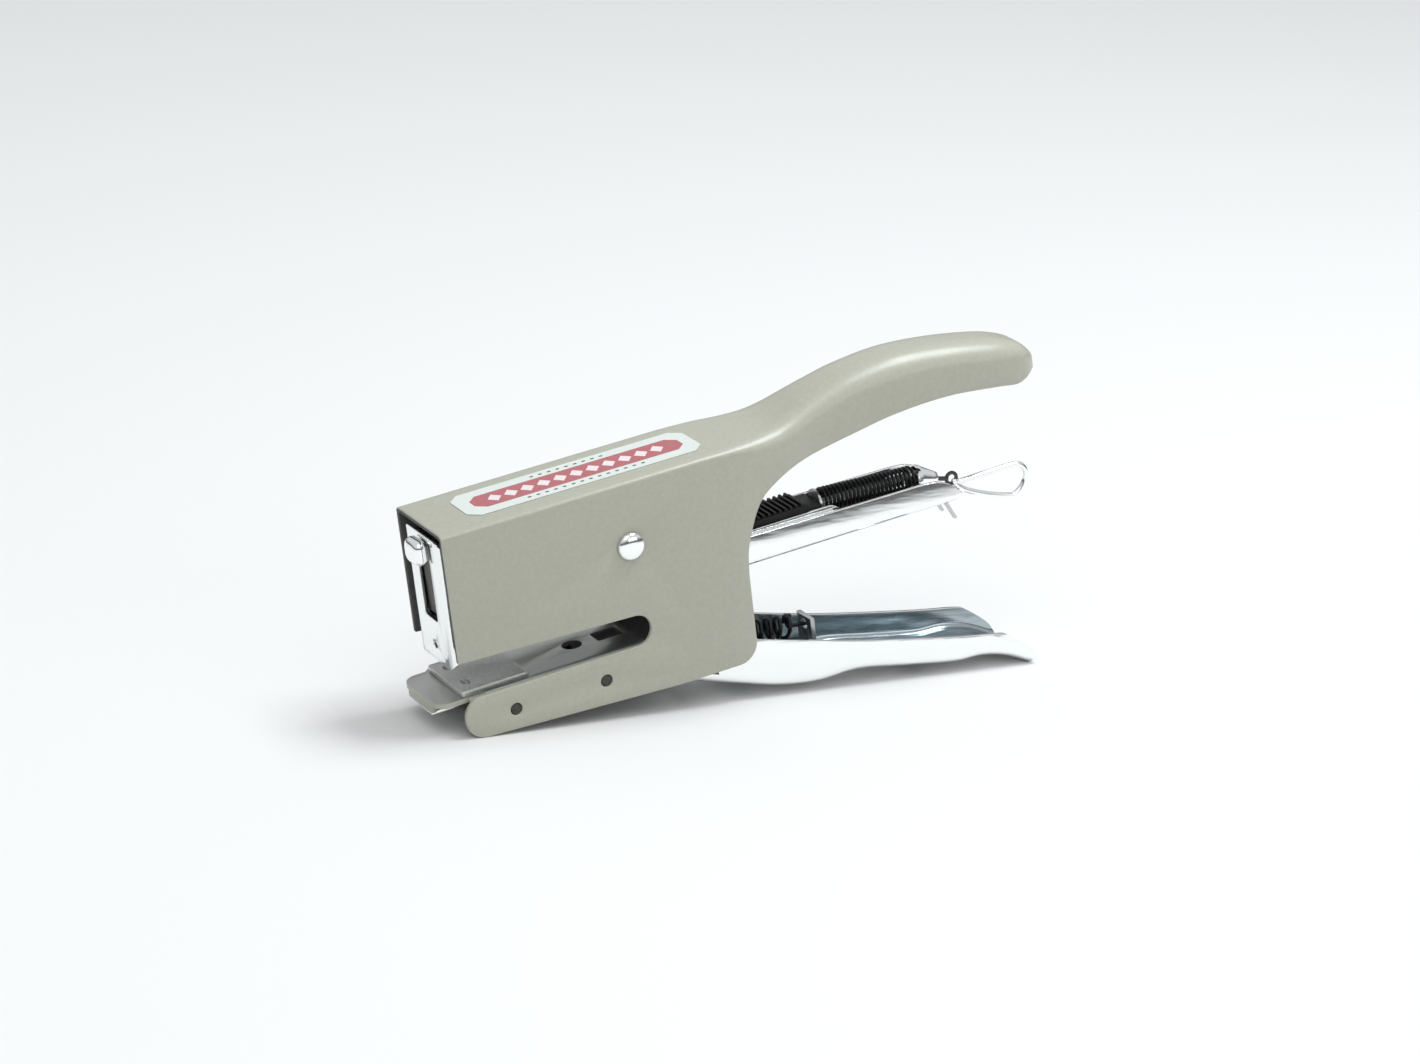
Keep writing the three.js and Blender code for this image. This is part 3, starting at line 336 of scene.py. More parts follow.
def rounded(a0, a1, b0, b1, radius, steps=6):
    """A rectangle with round corners."""
    line = arc(a1 - radius, b1 - radius, radius, 0, 90, steps)
    line += arc(a0 + radius, b1 - radius, radius, 90, 180, steps)
    line += arc(a0 + radius, b0 + radius, radius, 180, 270, steps)
    return line + arc(a1 - radius, b0 + radius, radius, 270, 360, steps)


# ---------------------------------------------------------------- mesh making
MERGE = 1e-4  # points closer than this become one
ON_AXIS = 1e-6  # a radius smaller than this is a point on the axis


def add_object(name, mesh):
    obj = bpy.data.objects.new(name, mesh)
    bpy.context.scene.collection.objects.link(obj)
    return obj


def from_bmesh(name, bm):
    bmesh.ops.remove_doubles(bm, verts=bm.verts, dist=MERGE)
    bmesh.ops.recalc_face_normals(bm, faces=bm.faces)
    mesh = bpy.data.meshes.new(name)
    bm.to_mesh(mesh)
    bm.free()
    return add_object(name, mesh)


def stitch(bm, rings, closed=False):
    """Joins equal rings of vertices with faces; closed joins the last ring to the first."""
    count = len(rings[0])
    following = rings[1:] + rings[:1] if closed else rings[1:]
    for low, high in zip(rings, following):
        for i in range(count):
            j = (i + 1) % count
            bm.faces.new((low[i], low[j], high[j], high[i]))


def cap(bm, rings):
    """Closes both ends of a row of rings."""
    bm.faces.new(rings[0])
    bm.faces.new(rings[-1])


def circle(bm, middle, side, other, radius, steps):
    """A ring of vertices round middle, in the plane of side and other."""
    turns = [2 * math.pi * i / steps for i in range(steps)]
    return [
        bm.verts.new(middle + side * radius * math.cos(t) + other * radius * math.sin(t)) for t in turns
    ]


def prism(name, outline, low, high, plane="xz"):
    """A flat outline thickened across the plane it is drawn in, from low to high."""
    place = {
        "xz": lambda a, b, c: (a, c, b),
        "xy": lambda a, b, c: (a, b, c),
        "yz": lambda a, b, c: (c, a, b),
    }[plane]
    bm = bmesh.new()
    rings = [[bm.verts.new(place(a, b, c)) for a, b in outline] for c in (low, high)]
    cap(bm, rings)
    stitch(bm, rings)
    return from_bmesh(name, bm)


def box(name, xs, ys, zs):
    return prism(name, [(xs[0], zs[0]), (xs[1], zs[0]), (xs[1], zs[1]), (xs[0], zs[1])], *ys)


def skin(name, rings, closed=False):
    """A solid skin over equal closed rings of points; closed joins the last ring to the first."""
    bm = bmesh.new()
    rows = [[bm.verts.new(p) for p in ring] for ring in rings]
    stitch(bm, rows, closed)
    if not closed:
        cap(bm, rows)
    return from_bmesh(name, bm)


def turned(name, profile, start, axis, steps=48):
    """A solid of revolution: profile is (distance along the axis, radius), from start along axis."""
    axis = Vector(axis).normalized()
    side = axis.orthogonal().normalized()
    other = axis.cross(side)
    bm = bmesh.new()
    rows = []
    for reach, radius in profile:
        middle = Vector(start) + axis * reach
        if radius < ON_AXIS:
            rows.append([bm.verts.new(middle)] * steps)
        else:
            rows.append(circle(bm, middle, side, other, radius, steps))
    for low, high in zip(rows, rows[1:]):
        for i in range(steps):
            j = (i + 1) % steps
            corners = list(dict.fromkeys((low[i], low[j], high[j], high[i])))
            if len(corners) > 2:
                bm.faces.new(corners)
    return from_bmesh(name, bm)


def tube(name, points, radius, sides=12, closed=False):
    """A round wire along points, with rounded ends where it is open."""
    path = [Vector(p) for p in points]
    bm = bmesh.new()
    count = len(path)
    rows = []
    up = None
    for i, p in enumerate(path):
        before = path[i - 1] if closed or i else p
        after = path[(i + 1) % count] if closed or i + 1 < count else p
        ahead = (after - before).normalized()
        if up is None:
            up = ahead.orthogonal().normalized()
        up = (up - ahead * up.dot(ahead)).normalized()
        rows.append((p, ahead, up.copy(), ahead.cross(up)))

    def domed(row, way, angles):
        p, ahead, u, s = row
        rings = []
        for t in (math.radians(angle) for angle in angles):
            middle = p + ahead * way * radius * math.sin(t)
            rings.append(circle(bm, middle, u, s, radius * math.cos(t), sides))
        return rings

    rings = [] if closed else domed(rows[0], -1, (75, 50, 25))
    rings += [circle(bm, p, u, s, radius, sides) for p, _, u, s in rows]
    rings += [] if closed else domed(rows[-1], 1, (25, 50, 75))
    stitch(bm, rings, closed)
    if not closed:
        cap(bm, rings)
    return from_bmesh(name, bm)


def closed_ring(name, start, axis, outer, inner, length, steps=40):
    """A thick washer with slightly rounded rims."""
    rim = 0.12
    profile = [
        (0, inner + rim),
        (0, outer - rim),
        (rim, outer),
        (length - rim, outer),
        (length, outer - rim),
        (length, inner + rim),
        (length - rim, inner),
        (rim, inner),
    ]
    axis = Vector(axis).normalized()
    side = axis.orthogonal().normalized()
    other = axis.cross(side)
    rings = []
    for t in (2 * math.pi * i / steps for i in range(steps)):
        out = side * math.cos(t) + other * math.sin(t)
        rings.append([Vector(start) + axis * reach + out * radius for reach, radius in profile])
    return skin(name, rings, closed=True)


def modify(obj, kind, **settings):
    """Adds a modifier and applies it."""
    modifier = obj.modifiers.new(kind.lower(), kind)
    for key, value in settings.items():
        setattr(modifier, key, value)
    bpy.context.view_layer.update()
    evaluated = obj.evaluated_get(bpy.context.evaluated_depsgraph_get())
    mesh = bpy.data.meshes.new_from_object(evaluated)
    obj.modifiers.clear()
    old = obj.data
    obj.data = mesh
    bpy.data.meshes.remove(old)
    return obj


def combine(obj, tool, operation):
    modify(obj, "BOOLEAN", object=tool, operation=operation, solver="EXACT")
    bpy.data.objects.remove(tool)
    return obj


def cut(obj, *tools):
    for tool in tools:
        combine(obj, tool, "DIFFERENCE")
    return obj


def soften(obj, width, segments=2, angle=35, clamp=False):
    """Rounds the sharp edges, as sheet edges and turned corners are."""
    bm = bmesh.new()
    bm.from_mesh(obj.data)
    bmesh.ops.remove_doubles(bm, verts=bm.verts, dist=width * 0.35)
    bmesh.ops.dissolve_degenerate(bm, edges=bm.edges, dist=width * 0.2)
    bm.to_mesh(obj.data)
    bm.free()
    return modify(
        obj,
        "BEVEL",
        width=width,
        segments=segments,
        limit_method="ANGLE",
        angle_limit=math.radians(angle),
        use_clamp_overlap=clamp,
        harden_normals=False,
    )


def flatten(obj):
    """Joins the slivers that cutting leaves on flat faces, so that they catch no light."""
    bm = bmesh.new()
    bm.from_mesh(obj.data)
    flat = math.radians(0.2)
    bmesh.ops.dissolve_limit(bm, angle_limit=flat, verts=bm.verts, edges=bm.edges)
    bm.to_mesh(obj.data)
    bm.free()


def join(name, *objects):
    """Several meshes as the loose parts of one."""
    bm = bmesh.new()
    for obj in objects:
        bm.from_mesh(obj.data)
    mesh = bpy.data.meshes.new(name)
    bm.to_mesh(mesh)
    bm.free()
    for obj in objects:
        bpy.data.objects.remove(obj)
    return add_object(name, mesh)


def finish(obj, name, body, material, slot, *nodes, crease=38):
    """Seats a piece in the model, gives it its finish and the body it moves with."""
    obj.name = name
    obj.data.name = name
    obj.data.transform(SEAT)
    for face in obj.data.polygons:
        face.use_smooth = True
    obj.data.set_sharp_from_angle(angle=math.radians(crease))
    if material:
        obj.data.materials.clear()
        obj.data.materials.append(material)
    if body:
        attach(obj, body)
    if nodes:
        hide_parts(*nodes)
    return obj


def split_across(obj, x):
    """Splits a piece's faces where they cross one x, so that each side of it can have its own material,
    such as painted shade.
    """
    bm = bmesh.new()
    bm.from_mesh(obj.data)
    everything = bm.verts[:] + bm.edges[:] + bm.faces[:]
    bmesh.ops.bisect_plane(bm, geom=everything, plane_co=(x, 0, 0), plane_no=(1, 0, 0))
    bm.to_mesh(obj.data)
    bm.free()


def paint_faces(obj, material, chosen):
    """Gives some of a finished piece's faces a second material: the anvil bed's steel, and painted shade
    inside pieces.

    chosen says which, from a face's centre and normal in the casing's frame.
    """
    back = SEAT.inverted()
    turn = back.to_3x3().normalized()
    obj.data.materials.append(material)
    index = len(obj.data.materials) - 1
    for face in obj.data.polygons:
        if chosen(back @ face.center, turn @ face.normal):
            face.material_index = index


def cross_pin(name, x, z, radius, low, high, steps=32):
    """A round bar across the stapler."""
    return plain_bar(name, (x, low, z), (0, 1, 0), radius, high - low, steps)


def plain_bar(name, start, axis, radius, length, steps=24):
    """A round bar with sharp ends, mostly for cutting bores."""
    return turned(name, [(0, 0), (0, radius), (length, radius), (length, 0)], start, axis, steps)


def pivot_bore():
    return cross_pin("bore", *PIVOT, PIVOT_BORE, -ASIDE, ASIDE)


def pin_bores():
    return [cross_pin("bore", x, z, PIN_BORE, -ASIDE, ASIDE, 24) for _, x, z in JAW_PINS]


# ---------------------------------------------------------------- casing
SHEET = 1.2
HALF_WIDTH = 12.0
FAR = 100.0  # past the object any way, for cutting tools
ASIDE = 20.0  # past its sides, for the same
PIVOT_BORE = 2.06
PIN_BORE = 1.46
FRONT_HEIGHT = 30.1  # of the wall above the throat, at the nose
LENGTH = 74.0  # from the nose to the rear edge
THROAT = {"depth": 47.8, "radius": 3.75}
# depths of the jaw's edges, its radii, and the x where its underside turns level
JAW = {
    "top": 39.3,
    "front_bottom": 49.4,
    "rear_bottom": 51.9,
    "top_radius": 4.6,
    "corner": 5.0,
    "level": 54.0,
}
HANDLE_START = 66.0
HANDLE_REACH = 91.4
TIP = HANDLE_START + HANDLE_REACH
TIP_DEPTH = 3.8
TIP_WALL = 1.6  # sheets of metal that close the tip
WALL_MARGIN = 0.95  # nearer than this to the outer skin isn't inside, so isn't painted as shade
# share of the reach, half width, crown, and the top edge's radii across and down
HANDLE_STATIONS = [
    (0.0, 12.0, 0.8, 2.2, 1.0),
    (0.092, 11.9, 0.7, 2.6, 1.6),
    (0.163, 11.4, 0.7, 3.6, 2.8),
    (0.224, 10.7, 1.2, 4.6, 3.5),
    (0.275, 9.8, 2.5, 5.2, 4.2),
    (0.326, 9.0, 4.2, 5.6, 4.6),
    (0.397, 8.4, 6.1, 5.8, 5.0),
    (0.468, 8.2, 7.5, 5.9, 5.2),
    (0.6, 8.2, 8.5, 5.9, 5.4),
    (0.743, 8.2, 7.4, 5.9, 5.2),
    (0.885, 8.1, 5.0, 5.8, 4.8),
    (0.94, 7.5, 3.4, 5.4, 4.2),
    (0.975, 6.4, 1.8, 4.6, 3.2),
    (1.0, 4.6, -0.6, 3.0, 1.6),
]
# share of the reach, depth
HANDLE_UNDERSIDE = [
    (0.097, 23.4),
    (0.135, 15.2),
    (0.183, 11.3),
    (0.27, 8.3),
    (0.422, 6.3),
    (0.57, 4.4),
    (0.722, 4.0),
    (0.865, 5.4),
    (0.93, 6.4),
    (0.965, 5.9),
]
JAW_PINS = [("jaw_pin_front", 12.4, -44.9), ("jaw_pin_rear", 35.2, -45.1)]


def casing_ring(x, inset, steps=12):
    """Half the casing's section at one x with its mirror image, open-ended below."""
    share = max((x - HANDLE_START) / HANDLE_REACH, 0)
    half, crown, ry, rz = (smooth(HANDLE_STATIONS, c, share) for c in (1, 2, 3, 4))
    half, top = half - inset, crown - inset
    ry, rz = max(ry - inset, 0.5), max(rz - inset, 0.5)
    ring = [(x, -half, -FAR)]
    for i in range(steps + 1):
        t = math.pi / 2 * i / steps
        ring.append((x, ry - half - ry * math.cos(t), top - rz + rz * math.sin(t)))
    mirrored = [(px, -py, pz) for px, py, pz in reversed(ring)]
    return ring + mirrored


def casing_skin(name, start, end, inset, step=1.5):
    stations = [start]
    x = HANDLE_START
    while x < end - step / 2:
        stations.append(x)
        x += step
    return skin(name, [casing_ring(x, inset) for x in stations + [end]])


def casing_outline():
    """The side view, from above the nose round the throat, jaw and handle to past the tip."""
    throat, top, corner = THROAT["radius"], JAW["top_radius"], JAW["corner"]
    past = TIP + 2.6
    line = [(0, FAR), (0, -FRONT_HEIGHT)]
    line += arc(THROAT["depth"] - throat, throat - JAW["top"], throat, 90, -90, 18)
    line += arc(top, -JAW["top"] - top, top, 90, 180, 10)
    line += arc(corner, corner - JAW["front_bottom"], corner, 180, 270, 10)
    line += [(JAW["level"], -JAW["rear_bottom"])]
    line += arc(LENGTH - corner, corner - JAW["rear_bottom"], corner, -90, 0, 10)
    rear = [(LENGTH, -FRONT_HEIGHT)]
    rear += [(HANDLE_START + share * HANDLE_REACH, -depth) for share, depth in HANDLE_UNDERSIDE]
    return line + spline(rear, 6) + [(past, -TIP_DEPTH), (past, FAR)]


def make_casing():
    shell = casing_skin("casing_shell", 0, TIP, 0)
    combine(shell, prism("silhouette", casing_outline(), -FAR, FAR), "INTERSECT")
    hollow = casing_skin("casing_hollow", -1, TIP - TIP_WALL * SHEET, SHEET)
    cut(shell, hollow, pivot_bore(), *pin_bores())
    soften(shell, 0.28, 3, 38)
    modify(shell, "WEIGHTED_NORMAL", keep_sharp=True, weight=60)
    finish(shell, "casing_shell", "casing", ENAMEL, "casing_enamel", "casing", crease=50)

    # Faces inside the shell, apart from the tip's end, are painted near-black as shade.
    def inside(at, facing):
        share = max((at.x - HANDLE_START) / HANDLE_REACH, 0)
        half, crown = (smooth(HANDLE_STATIONS, c, share) for c in (1, 2))
        if facing.x > 0.3 and at.x > TIP - SHEET:
            return False
        return abs(at.y) < half - WALL_MARGIN and at.z < crown - WALL_MARGIN and facing.y * at.y <= 0.01

    paint_faces(shell, PAINTED_SHADE, inside)


# ---------------------------------------------------------------- label
TOP = 0.8  # height of the flat top
LABEL = {"start": 10.0, "end": 69.0, "half": 7.0, "corner": 2.6, "thickness": 0.14, "gap": 0.02}
BAR = {"front": 3.4, "rear": 3.0, "half": 3.7, "corner": 2.2, "ink": 0.012}
DIAMOND = {"count": 11, "pitch": 4.1, "long": 1.7, "wide": 2.1, "ink": (0.014, 0.024)}
DOT = {"rows": ((5.2, 9), (-5.2, 14)), "pitch": 2.2, "long": 0.45, "wide": 0.32, "corner": 0.2, "ink": 0.01}


def chamfered(start, end, half, corner):
    """A long shape whose four corners are cut off."""
    return [
        (start, corner - half),
        (start + corner, -half),
        (end - corner, -half),
        (end, corner - half),
        (end, half - corner),
        (end - corner, half),
        (start + corner, half),
        (start, half - corner),
    ]


def join_painted(name, layers):
    """Several meshes as the loose parts of one, each with its own finish."""
    inks = []
    bm = bmesh.new()
    for obj, material in layers:
        if material not in inks:
            inks.append(material)
        first = len(bm.faces)
        bm.from_mesh(obj.data)
        bm.faces.ensure_lookup_table()
        for face in bm.faces[first:]:
            face.material_index = inks.index(material)
        bpy.data.objects.remove(obj)
    mesh = bpy.data.meshes.new(name)
    bm.to_mesh(mesh)
    bm.free()
    for material in inks:
        mesh.materials.append(material)
    return add_object(name, mesh)


def make_label():
    """The sticker, with a plain ornament of a red bar, pale diamonds and two dotted rules."""
    base = TOP + LABEL["gap"]
    top = base + LABEL["thickness"]
    start, end = LABEL["start"], LABEL["end"]
    middle = (start + end) / 2
    sheet = prism("sheet", chamfered(start, end, LABEL["half"], LABEL["corner"]), base, top, "xy")
    soften(sheet, 0.05, 1)
    outline = chamfered(start + BAR["front"], end - BAR["rear"], BAR["half"], BAR["corner"])
    layers = [(sheet, FILM), (prism("bar", outline, top, top + BAR["ink"], "xy"), RED_INK)]
    long, wide = DIAMOND["long"], DIAMOND["wide"]
    low, high = (top + rise for rise in DIAMOND["ink"])
    for i in range(DIAMOND["count"]):
        x = middle + (i - (DIAMOND["count"] - 1) / 2) * DIAMOND["pitch"]
        outline = [(x - long, 0), (x, -wide), (x + long, 0), (x, wide)]
        layers.append((prism("diamond", outline, low, high, "xy"), PALE_INK))
    long, wide = DOT["long"], DOT["wide"]
    for reach, count in DOT["rows"]:
        for i in range(count):
            x = middle + (i - (count - 1) / 2) * DOT["pitch"]
            outline = rounded(x - long, x + long, reach - wide, reach + wide, DOT["corner"], 2)
            layers.append((prism("dot", outline, top, top + DOT["ink"], "xy"), DARK_INK))
    sticker = join_painted("label_sticker", layers)
    finish(sticker, "label_sticker", "casing", None, "sticker", "label")


# ---------------------------------------------------------------- rivet and pins
def rivet_profile():
    """Distance out and radius of a head with an upright rim under a low dome."""
    rim, rise, radius = 0.55, 1.2, 3.2
    head = [(0, 0), (0, 2.0), (0, 3.05), (0.25, 3.3), (rim, 3.25)]
    for i in range(1, 9):
        t = math.pi / 2 * i / 8
        head.append((rim + rise * math.sin(t), radius * math.cos(t) if i < 8 else 0))
    return head


def make_pivot():
    x, z = PIVOT
    seat = HALF_WIDTH + 0.02
    far = turned("rivet_head_far", rivet_profile(), (x, seat, z), (0, 1, 0))
    near = turned("rivet_head_near", rivet_profile(), (x, -seat, z), (0, -1, 0))
    near = join("rivet_head_near", near, cross_pin("shank", x, z, 2.0, -HALF_WIDTH, HALF_WIDTH))
    finish(near, "rivet_head_near", "casing", CHROME, "chrome", "pivot_rivet")
    finish(join("rivet_head_far", far), "rivet_head_far", "casing", CHROME, "chrome", "pivot_rivet_cap")


def make_jaw_pins():
    """Two pins with a dimple and a rounded rim at each end."""
    reach = HALF_WIDTH - 0.12
    end = [(0, 0), (0.25, 0.35), (0.28, 0.7), (0.02, 1.15), (0.25, 1.4)]
    profile = end + [(2 * reach - a, r) for a, r in reversed(end)]
    for name, x, z in JAW_PINS:
        pin = turned(name + "_bar", profile, (x, -reach, z), (0, 1, 0), 28)
        finish(pin, name + "_bar", "casing", BLUED, "blued_steel", name)


# ---------------------------------------------------------------- repeated and wound shapes
def new_tree(name, inputs):
    """An empty Geometry Nodes tree with named inputs and one geometry output."""
    tree = bpy.data.node_groups.new(name, "GeometryNodeTree")
    tree.interface.new_socket(name="Geometry", in_out="INPUT", socket_type="NodeSocketGeometry")
    for title, kind in inputs:
        tree.interface.new_socket(name=title, in_out="INPUT", socket_type="NodeSocket" + kind)
    tree.interface.new_socket(name="Geometry", in_out="OUTPUT", socket_type="NodeSocketGeometry")
    return tree, tree.nodes.new("NodeGroupInput"), tree.nodes.new("NodeGroupOutput")


def close_tree(tree, given, result, geometry):
    """Ends a tree in Realize Instances and Set Material."""
    real = tree.nodes.new("GeometryNodeRealizeInstances")
    paint = tree.nodes.new("GeometryNodeSetMaterial")
    tree.links.new(geometry, real.inputs["Geometry"])
    tree.links.new(real.outputs["Geometry"], paint.inputs["Geometry"])
    tree.links.new(given.outputs["Material"], paint.inputs["Material"])
    tree.links.new(paint.outputs["Geometry"], result.inputs["Geometry"])
    return tree


def row_tree():
    """Copies of the object's own mesh in a straight row."""
    kinds = [("Count", "Int"), ("Step", "Vector"), ("Material", "Material")]
    tree, given, result = new_tree("row", kinds)
    line = tree.nodes.new("GeometryNodeMeshLine")
    line.mode = "OFFSET"
    copies = tree.nodes.new("GeometryNodeInstanceOnPoints")
    tree.links.new(given.outputs["Count"], line.inputs["Count"])
    tree.links.new(given.outputs["Step"], line.inputs["Offset"])
    tree.links.new(line.outputs["Mesh"], copies.inputs["Points"])
    tree.links.new(given.outputs["Geometry"], copies.inputs["Instance"])
    return close_tree(tree, given, result, copies.outputs["Instances"])


def coil_tree():
    """A wire wound along z from the origin."""
    kinds = [
        ("Turns", "Float"),
        ("Radius", "Float"),
        ("Length", "Float"),
        ("Wire", "Float"),
        ("Material", "Material"),
    ]
    tree, given, result = new_tree("coil", kinds)
    spiral = tree.nodes.new("GeometryNodeCurveSpiral")
    spiral.inputs["Resolution"].default_value = 26
    section = tree.nodes.new("GeometryNodeCurvePrimitiveCircle")
    section.inputs["Resolution"].default_value = 9
    sweep = tree.nodes.new("GeometryNodeCurveToMesh")
    sweep.inputs["Fill Caps"].default_value = True
    tree.links.new(given.outputs["Turns"], spiral.inputs["Rotations"])
    tree.links.new(given.outputs["Radius"], spiral.inputs["Start Radius"])
    tree.links.new(given.outputs["Radius"], spiral.inputs["End Radius"])
    tree.links.new(given.outputs["Length"], spiral.inputs["Height"])
    tree.links.new(given.outputs["Wire"], section.inputs["Radius"])
    tree.links.new(spiral.outputs["Curve"], sweep.inputs["Curve"])
    tree.links.new(section.outputs["Curve"], sweep.inputs["Profile Curve"])
    return close_tree(tree, given, result, sweep.outputs["Mesh"])


def grow(obj, tree, **values):
    """Runs a tree on an object and keeps its result as a plain mesh."""
    modifier = obj.modifiers.new(tree.name, "NODES")
    modifier.node_group = tree
    for item in tree.interface.items_tree:
        if item.in_out == "INPUT" and item.name in values:
            modifier[item.identifier] = values[item.name]
    bpy.context.view_layer.update()
    evaluated = obj.evaluated_get(bpy.context.evaluated_depsgraph_get())
    mesh = bpy.data.meshes.new_from_object(evaluated)
    obj.modifiers.clear()
    obj.data = mesh
    bm = bmesh.new()
    bm.from_mesh(mesh)
    bmesh.ops.remove_doubles(bm, verts=bm.verts, dist=MERGE)
    bmesh.ops.recalc_face_normals(bm, faces=bm.faces)
    bm.to_mesh(mesh)
    bm.free()
    return obj


ROW = row_tree()
COIL = coil_tree()


def coil(name, start, end, radius, wire, turns, material):
    """A spring of outside radius, from start to end in the middle plane."""
    start, end = Vector(start), Vector(end)
    seed = bpy.data.meshes.new(name)
    obj = add_object(name, seed)
    length = (end - start).length
    grow(obj, COIL, Turns=turns, Radius=radius - wire, Length=length, Wire=wire, Material=material)
    turn = (end - start).to_track_quat("Z", "Y").to_matrix().to_4x4()
    obj.data.transform(Matrix.Translation(start) @ turn)
    return obj


def thicken(line, thickness):
    """A sheet's outline: a line and the same line set to its left by the thickness."""
    points = [Vector(p) for p in line]
    other = []
    for i, p in enumerate(points):
        before = (p - points[i - 1]).normalized() if i else None
        after = (points[i + 1] - p).normalized() if i + 1 < len(points) else None
        ahead = before if after is None else after if before is None else (before + after).normalized()
        left = Vector((-ahead.y, ahead.x))
        edge = before or after
        reach = thickness / max(left.dot(Vector((-edge.y, edge.x))), 0.4)
        other.append(p + left * reach)
    return [tuple(p) for p in points] + [tuple(p) for p in reversed(other)]


def bent(points, radius, steps=5):
    """A line whose inner corners are round bends of one radius, where there is room."""
    line = [points[0]]
    last = len(points) - 1
    for k in range(1, last):
        a, b, c = (Vector(points[i]) for i in (k - 1, k, k + 1))
        back, ahead = (a - b).normalized(), (c - b).normalized()
        half = back.angle(ahead) / 2
        room_back = (a - b).length * (0.98 if k == 1 else 0.49)
        room_ahead = (c - b).length * (0.98 if k == last - 1 else 0.49)
        reach = min(radius / math.tan(half), room_back, room_ahead)
        size = reach * math.tan(half)
        centre = b + (back + ahead).normalized() * (size / math.sin(half))
        start = b + back * reach - centre
        turn = start.angle_signed(b + ahead * reach - centre)
        for i in range(steps + 1):
            t = turn * i / steps
            spoke = Vector((
                start.x * math.cos(t) + start.y * math.sin(t),
                start.y * math.cos(t) - start.x * math.sin(t),
            ))
            line.append(tuple(centre + spoke))
    return line + [points[-1]]


def gutter(name, start, end, half, sheet, underside, rim, radius):
    """An upward-open channel along x, with round bends at its floor."""
    corners = [(-half, -rim), (-half, -underside), (half, -underside), (half, -rim)]
    return prism(name, thicken(bent(corners, radius, 6), sheet), start, end, "yz")


# ---------------------------------------------------------------- anvil jaw
ANVIL = {"top": -39.6, "sheet": 1.2, "half": 10.38, "front": 2.4, "rear": 47.0, "depth": 8.6}
TONGUE = {"reach": 5.6, "half": 9.6, "corner": 3.5, "lip": 2.8}
ANVIL_HOLE = {"x": 32.9, "radius": 2.4}
ANVIL_WINDOW = {"start": 38.6, "end": 45.0, "half": 2.4}
DIE = {"front": 0.9, "rear": 17.8, "half": 9.3, "height": 1.6}
GROOVE = {"x": 3.9, "y": 4.75, "half": 1.8, "depth": 0.95, "above": 0.1}
LEDGE = {"length": 1.1, "drop": 0.5}
BRACE = {"front": -5.2, "rear": 24.0, "half": 5.0, "sheet": 0.8}


def make_anvil_plate():
    top, sheet, half = ANVIL["top"], ANVIL["sheet"], ANVIL["half"]
    foot = top - ANVIL["depth"]
    corners = [(half, foot), (half, top), (-half, top), (-half, foot)]
    plate = prism("anvil", thicken(bent(corners, 1.8, 6), sheet), ANVIL["front"], ANVIL["rear"], "yz")
    reach, wide, corner = TONGUE["reach"], TONGUE["half"], TONGUE["corner"]
    tongue = prism("tongue", rounded(-reach, 9, -wide, wide, corner, 8), top - sheet, top, "xy")
    lip_line = bent([(-reach, top - TONGUE["lip"]), (-reach, top), (3, top)], 1.9)
    lip = prism("lip", thicken(lip_line, -sheet), corner - wide, wide - corner)
    combine(plate, tongue, "UNION")
    combine(plate, lip, "UNION")
    hole = plain_bar("hole", (ANVIL_HOLE["x"], 0, top - 4), (0, 0, 1), ANVIL_HOLE["radius"], 9, 36)
    start, end, side = ANVIL_WINDOW["start"], ANVIL_WINDOW["end"], ANVIL_WINDOW["half"]
    window = prism("window", rounded(start, end, -side, side, 0.5, 3), top - 4, top + 4, "xy")
    cut(plate, hole, window, *pin_bores())
    flatten(plate)
    soften(plate, 0.2, 2, 40, clamp=True)
    finish(plate, "anvil_bed", "casing", ENAMEL, "casing_enamel", "anvil_plate", crease=45)

    def bed(at, facing):
        return facing.z > 0.9 and at.x > 3

    # The flanges' inner faces behind the tongue are painted near-black as shade.
    def inside(at, facing):
        return at.z < top - 0.3 and abs(at.y) < half - 0.9 and at.x > 3

    paint_faces(plate, BED_STEEL, bed)
    paint_faces(plate, PAINTED_SHADE, inside)


def make_anvil_die():
    """The clinching block, with two curved grooves that turn the staple's legs in."""
    low, high = ANVIL["top"] + 0.05, ANVIL["top"] + DIE["height"]
    outline = rounded(DIE["front"], DIE["rear"], -DIE["half"], DIE["half"], 0.8, 4)
    die = prism("die", outline, low, high, "xy")
    soften(die, 0.25, 2)
    half, depth = GROOVE["half"], GROOVE["depth"]
    angles = [math.radians(-70 + 20 * i) for i in range(8)]
    bowl = [(-half, 0)] + [(half * math.sin(a), depth * math.cos(a)) for a in angles] + [(half, 0)]
    for side in (-1, 1):
        place = (GROOVE["x"], side * GROOVE["y"], high + GROOVE["above"])
        cut(die, turned("groove", bowl, place, (0, 1, 0), 24))
    step = (DIE["rear"] - LEDGE["length"], DIE["rear"] + 2)
    cut(die, box("ledge", step, (-ASIDE, ASIDE), (high - LEDGE["drop"], high + 2)))
    finish(die, "clinch_block", "casing", ANVIL_STEEL, "bright_steel", "anvil_die", crease=30)


def make_anvil_brace():
    """The strip under the tongue that hooks round the front jaw pin."""
    x, z = JAW_PINS[0][1:]
    seat = 1.4 + 0.12
    half, sheet = BRACE["half"], BRACE["sheet"]
    line = [(BRACE["rear"], z + seat), (BRACE["front"], z + seat)]
    strip = prism("strip", thicken(line, -sheet), -half, half)
    combine(strip, prism("hook", thicken(arc(x, z, seat, -90, 90, 14), -sheet), -half, half), "UNION")
    soften(strip, 0.15, 2)
    finish(strip, "jaw_brace", "casing", CHROME, "chrome", "anvil_brace")


# ---------------------------------------------------------------- lever
LEVER_HALF = 10.5
LEVER_ROOT = (54.0, -51.9)
LEVER_REACH = 94.4
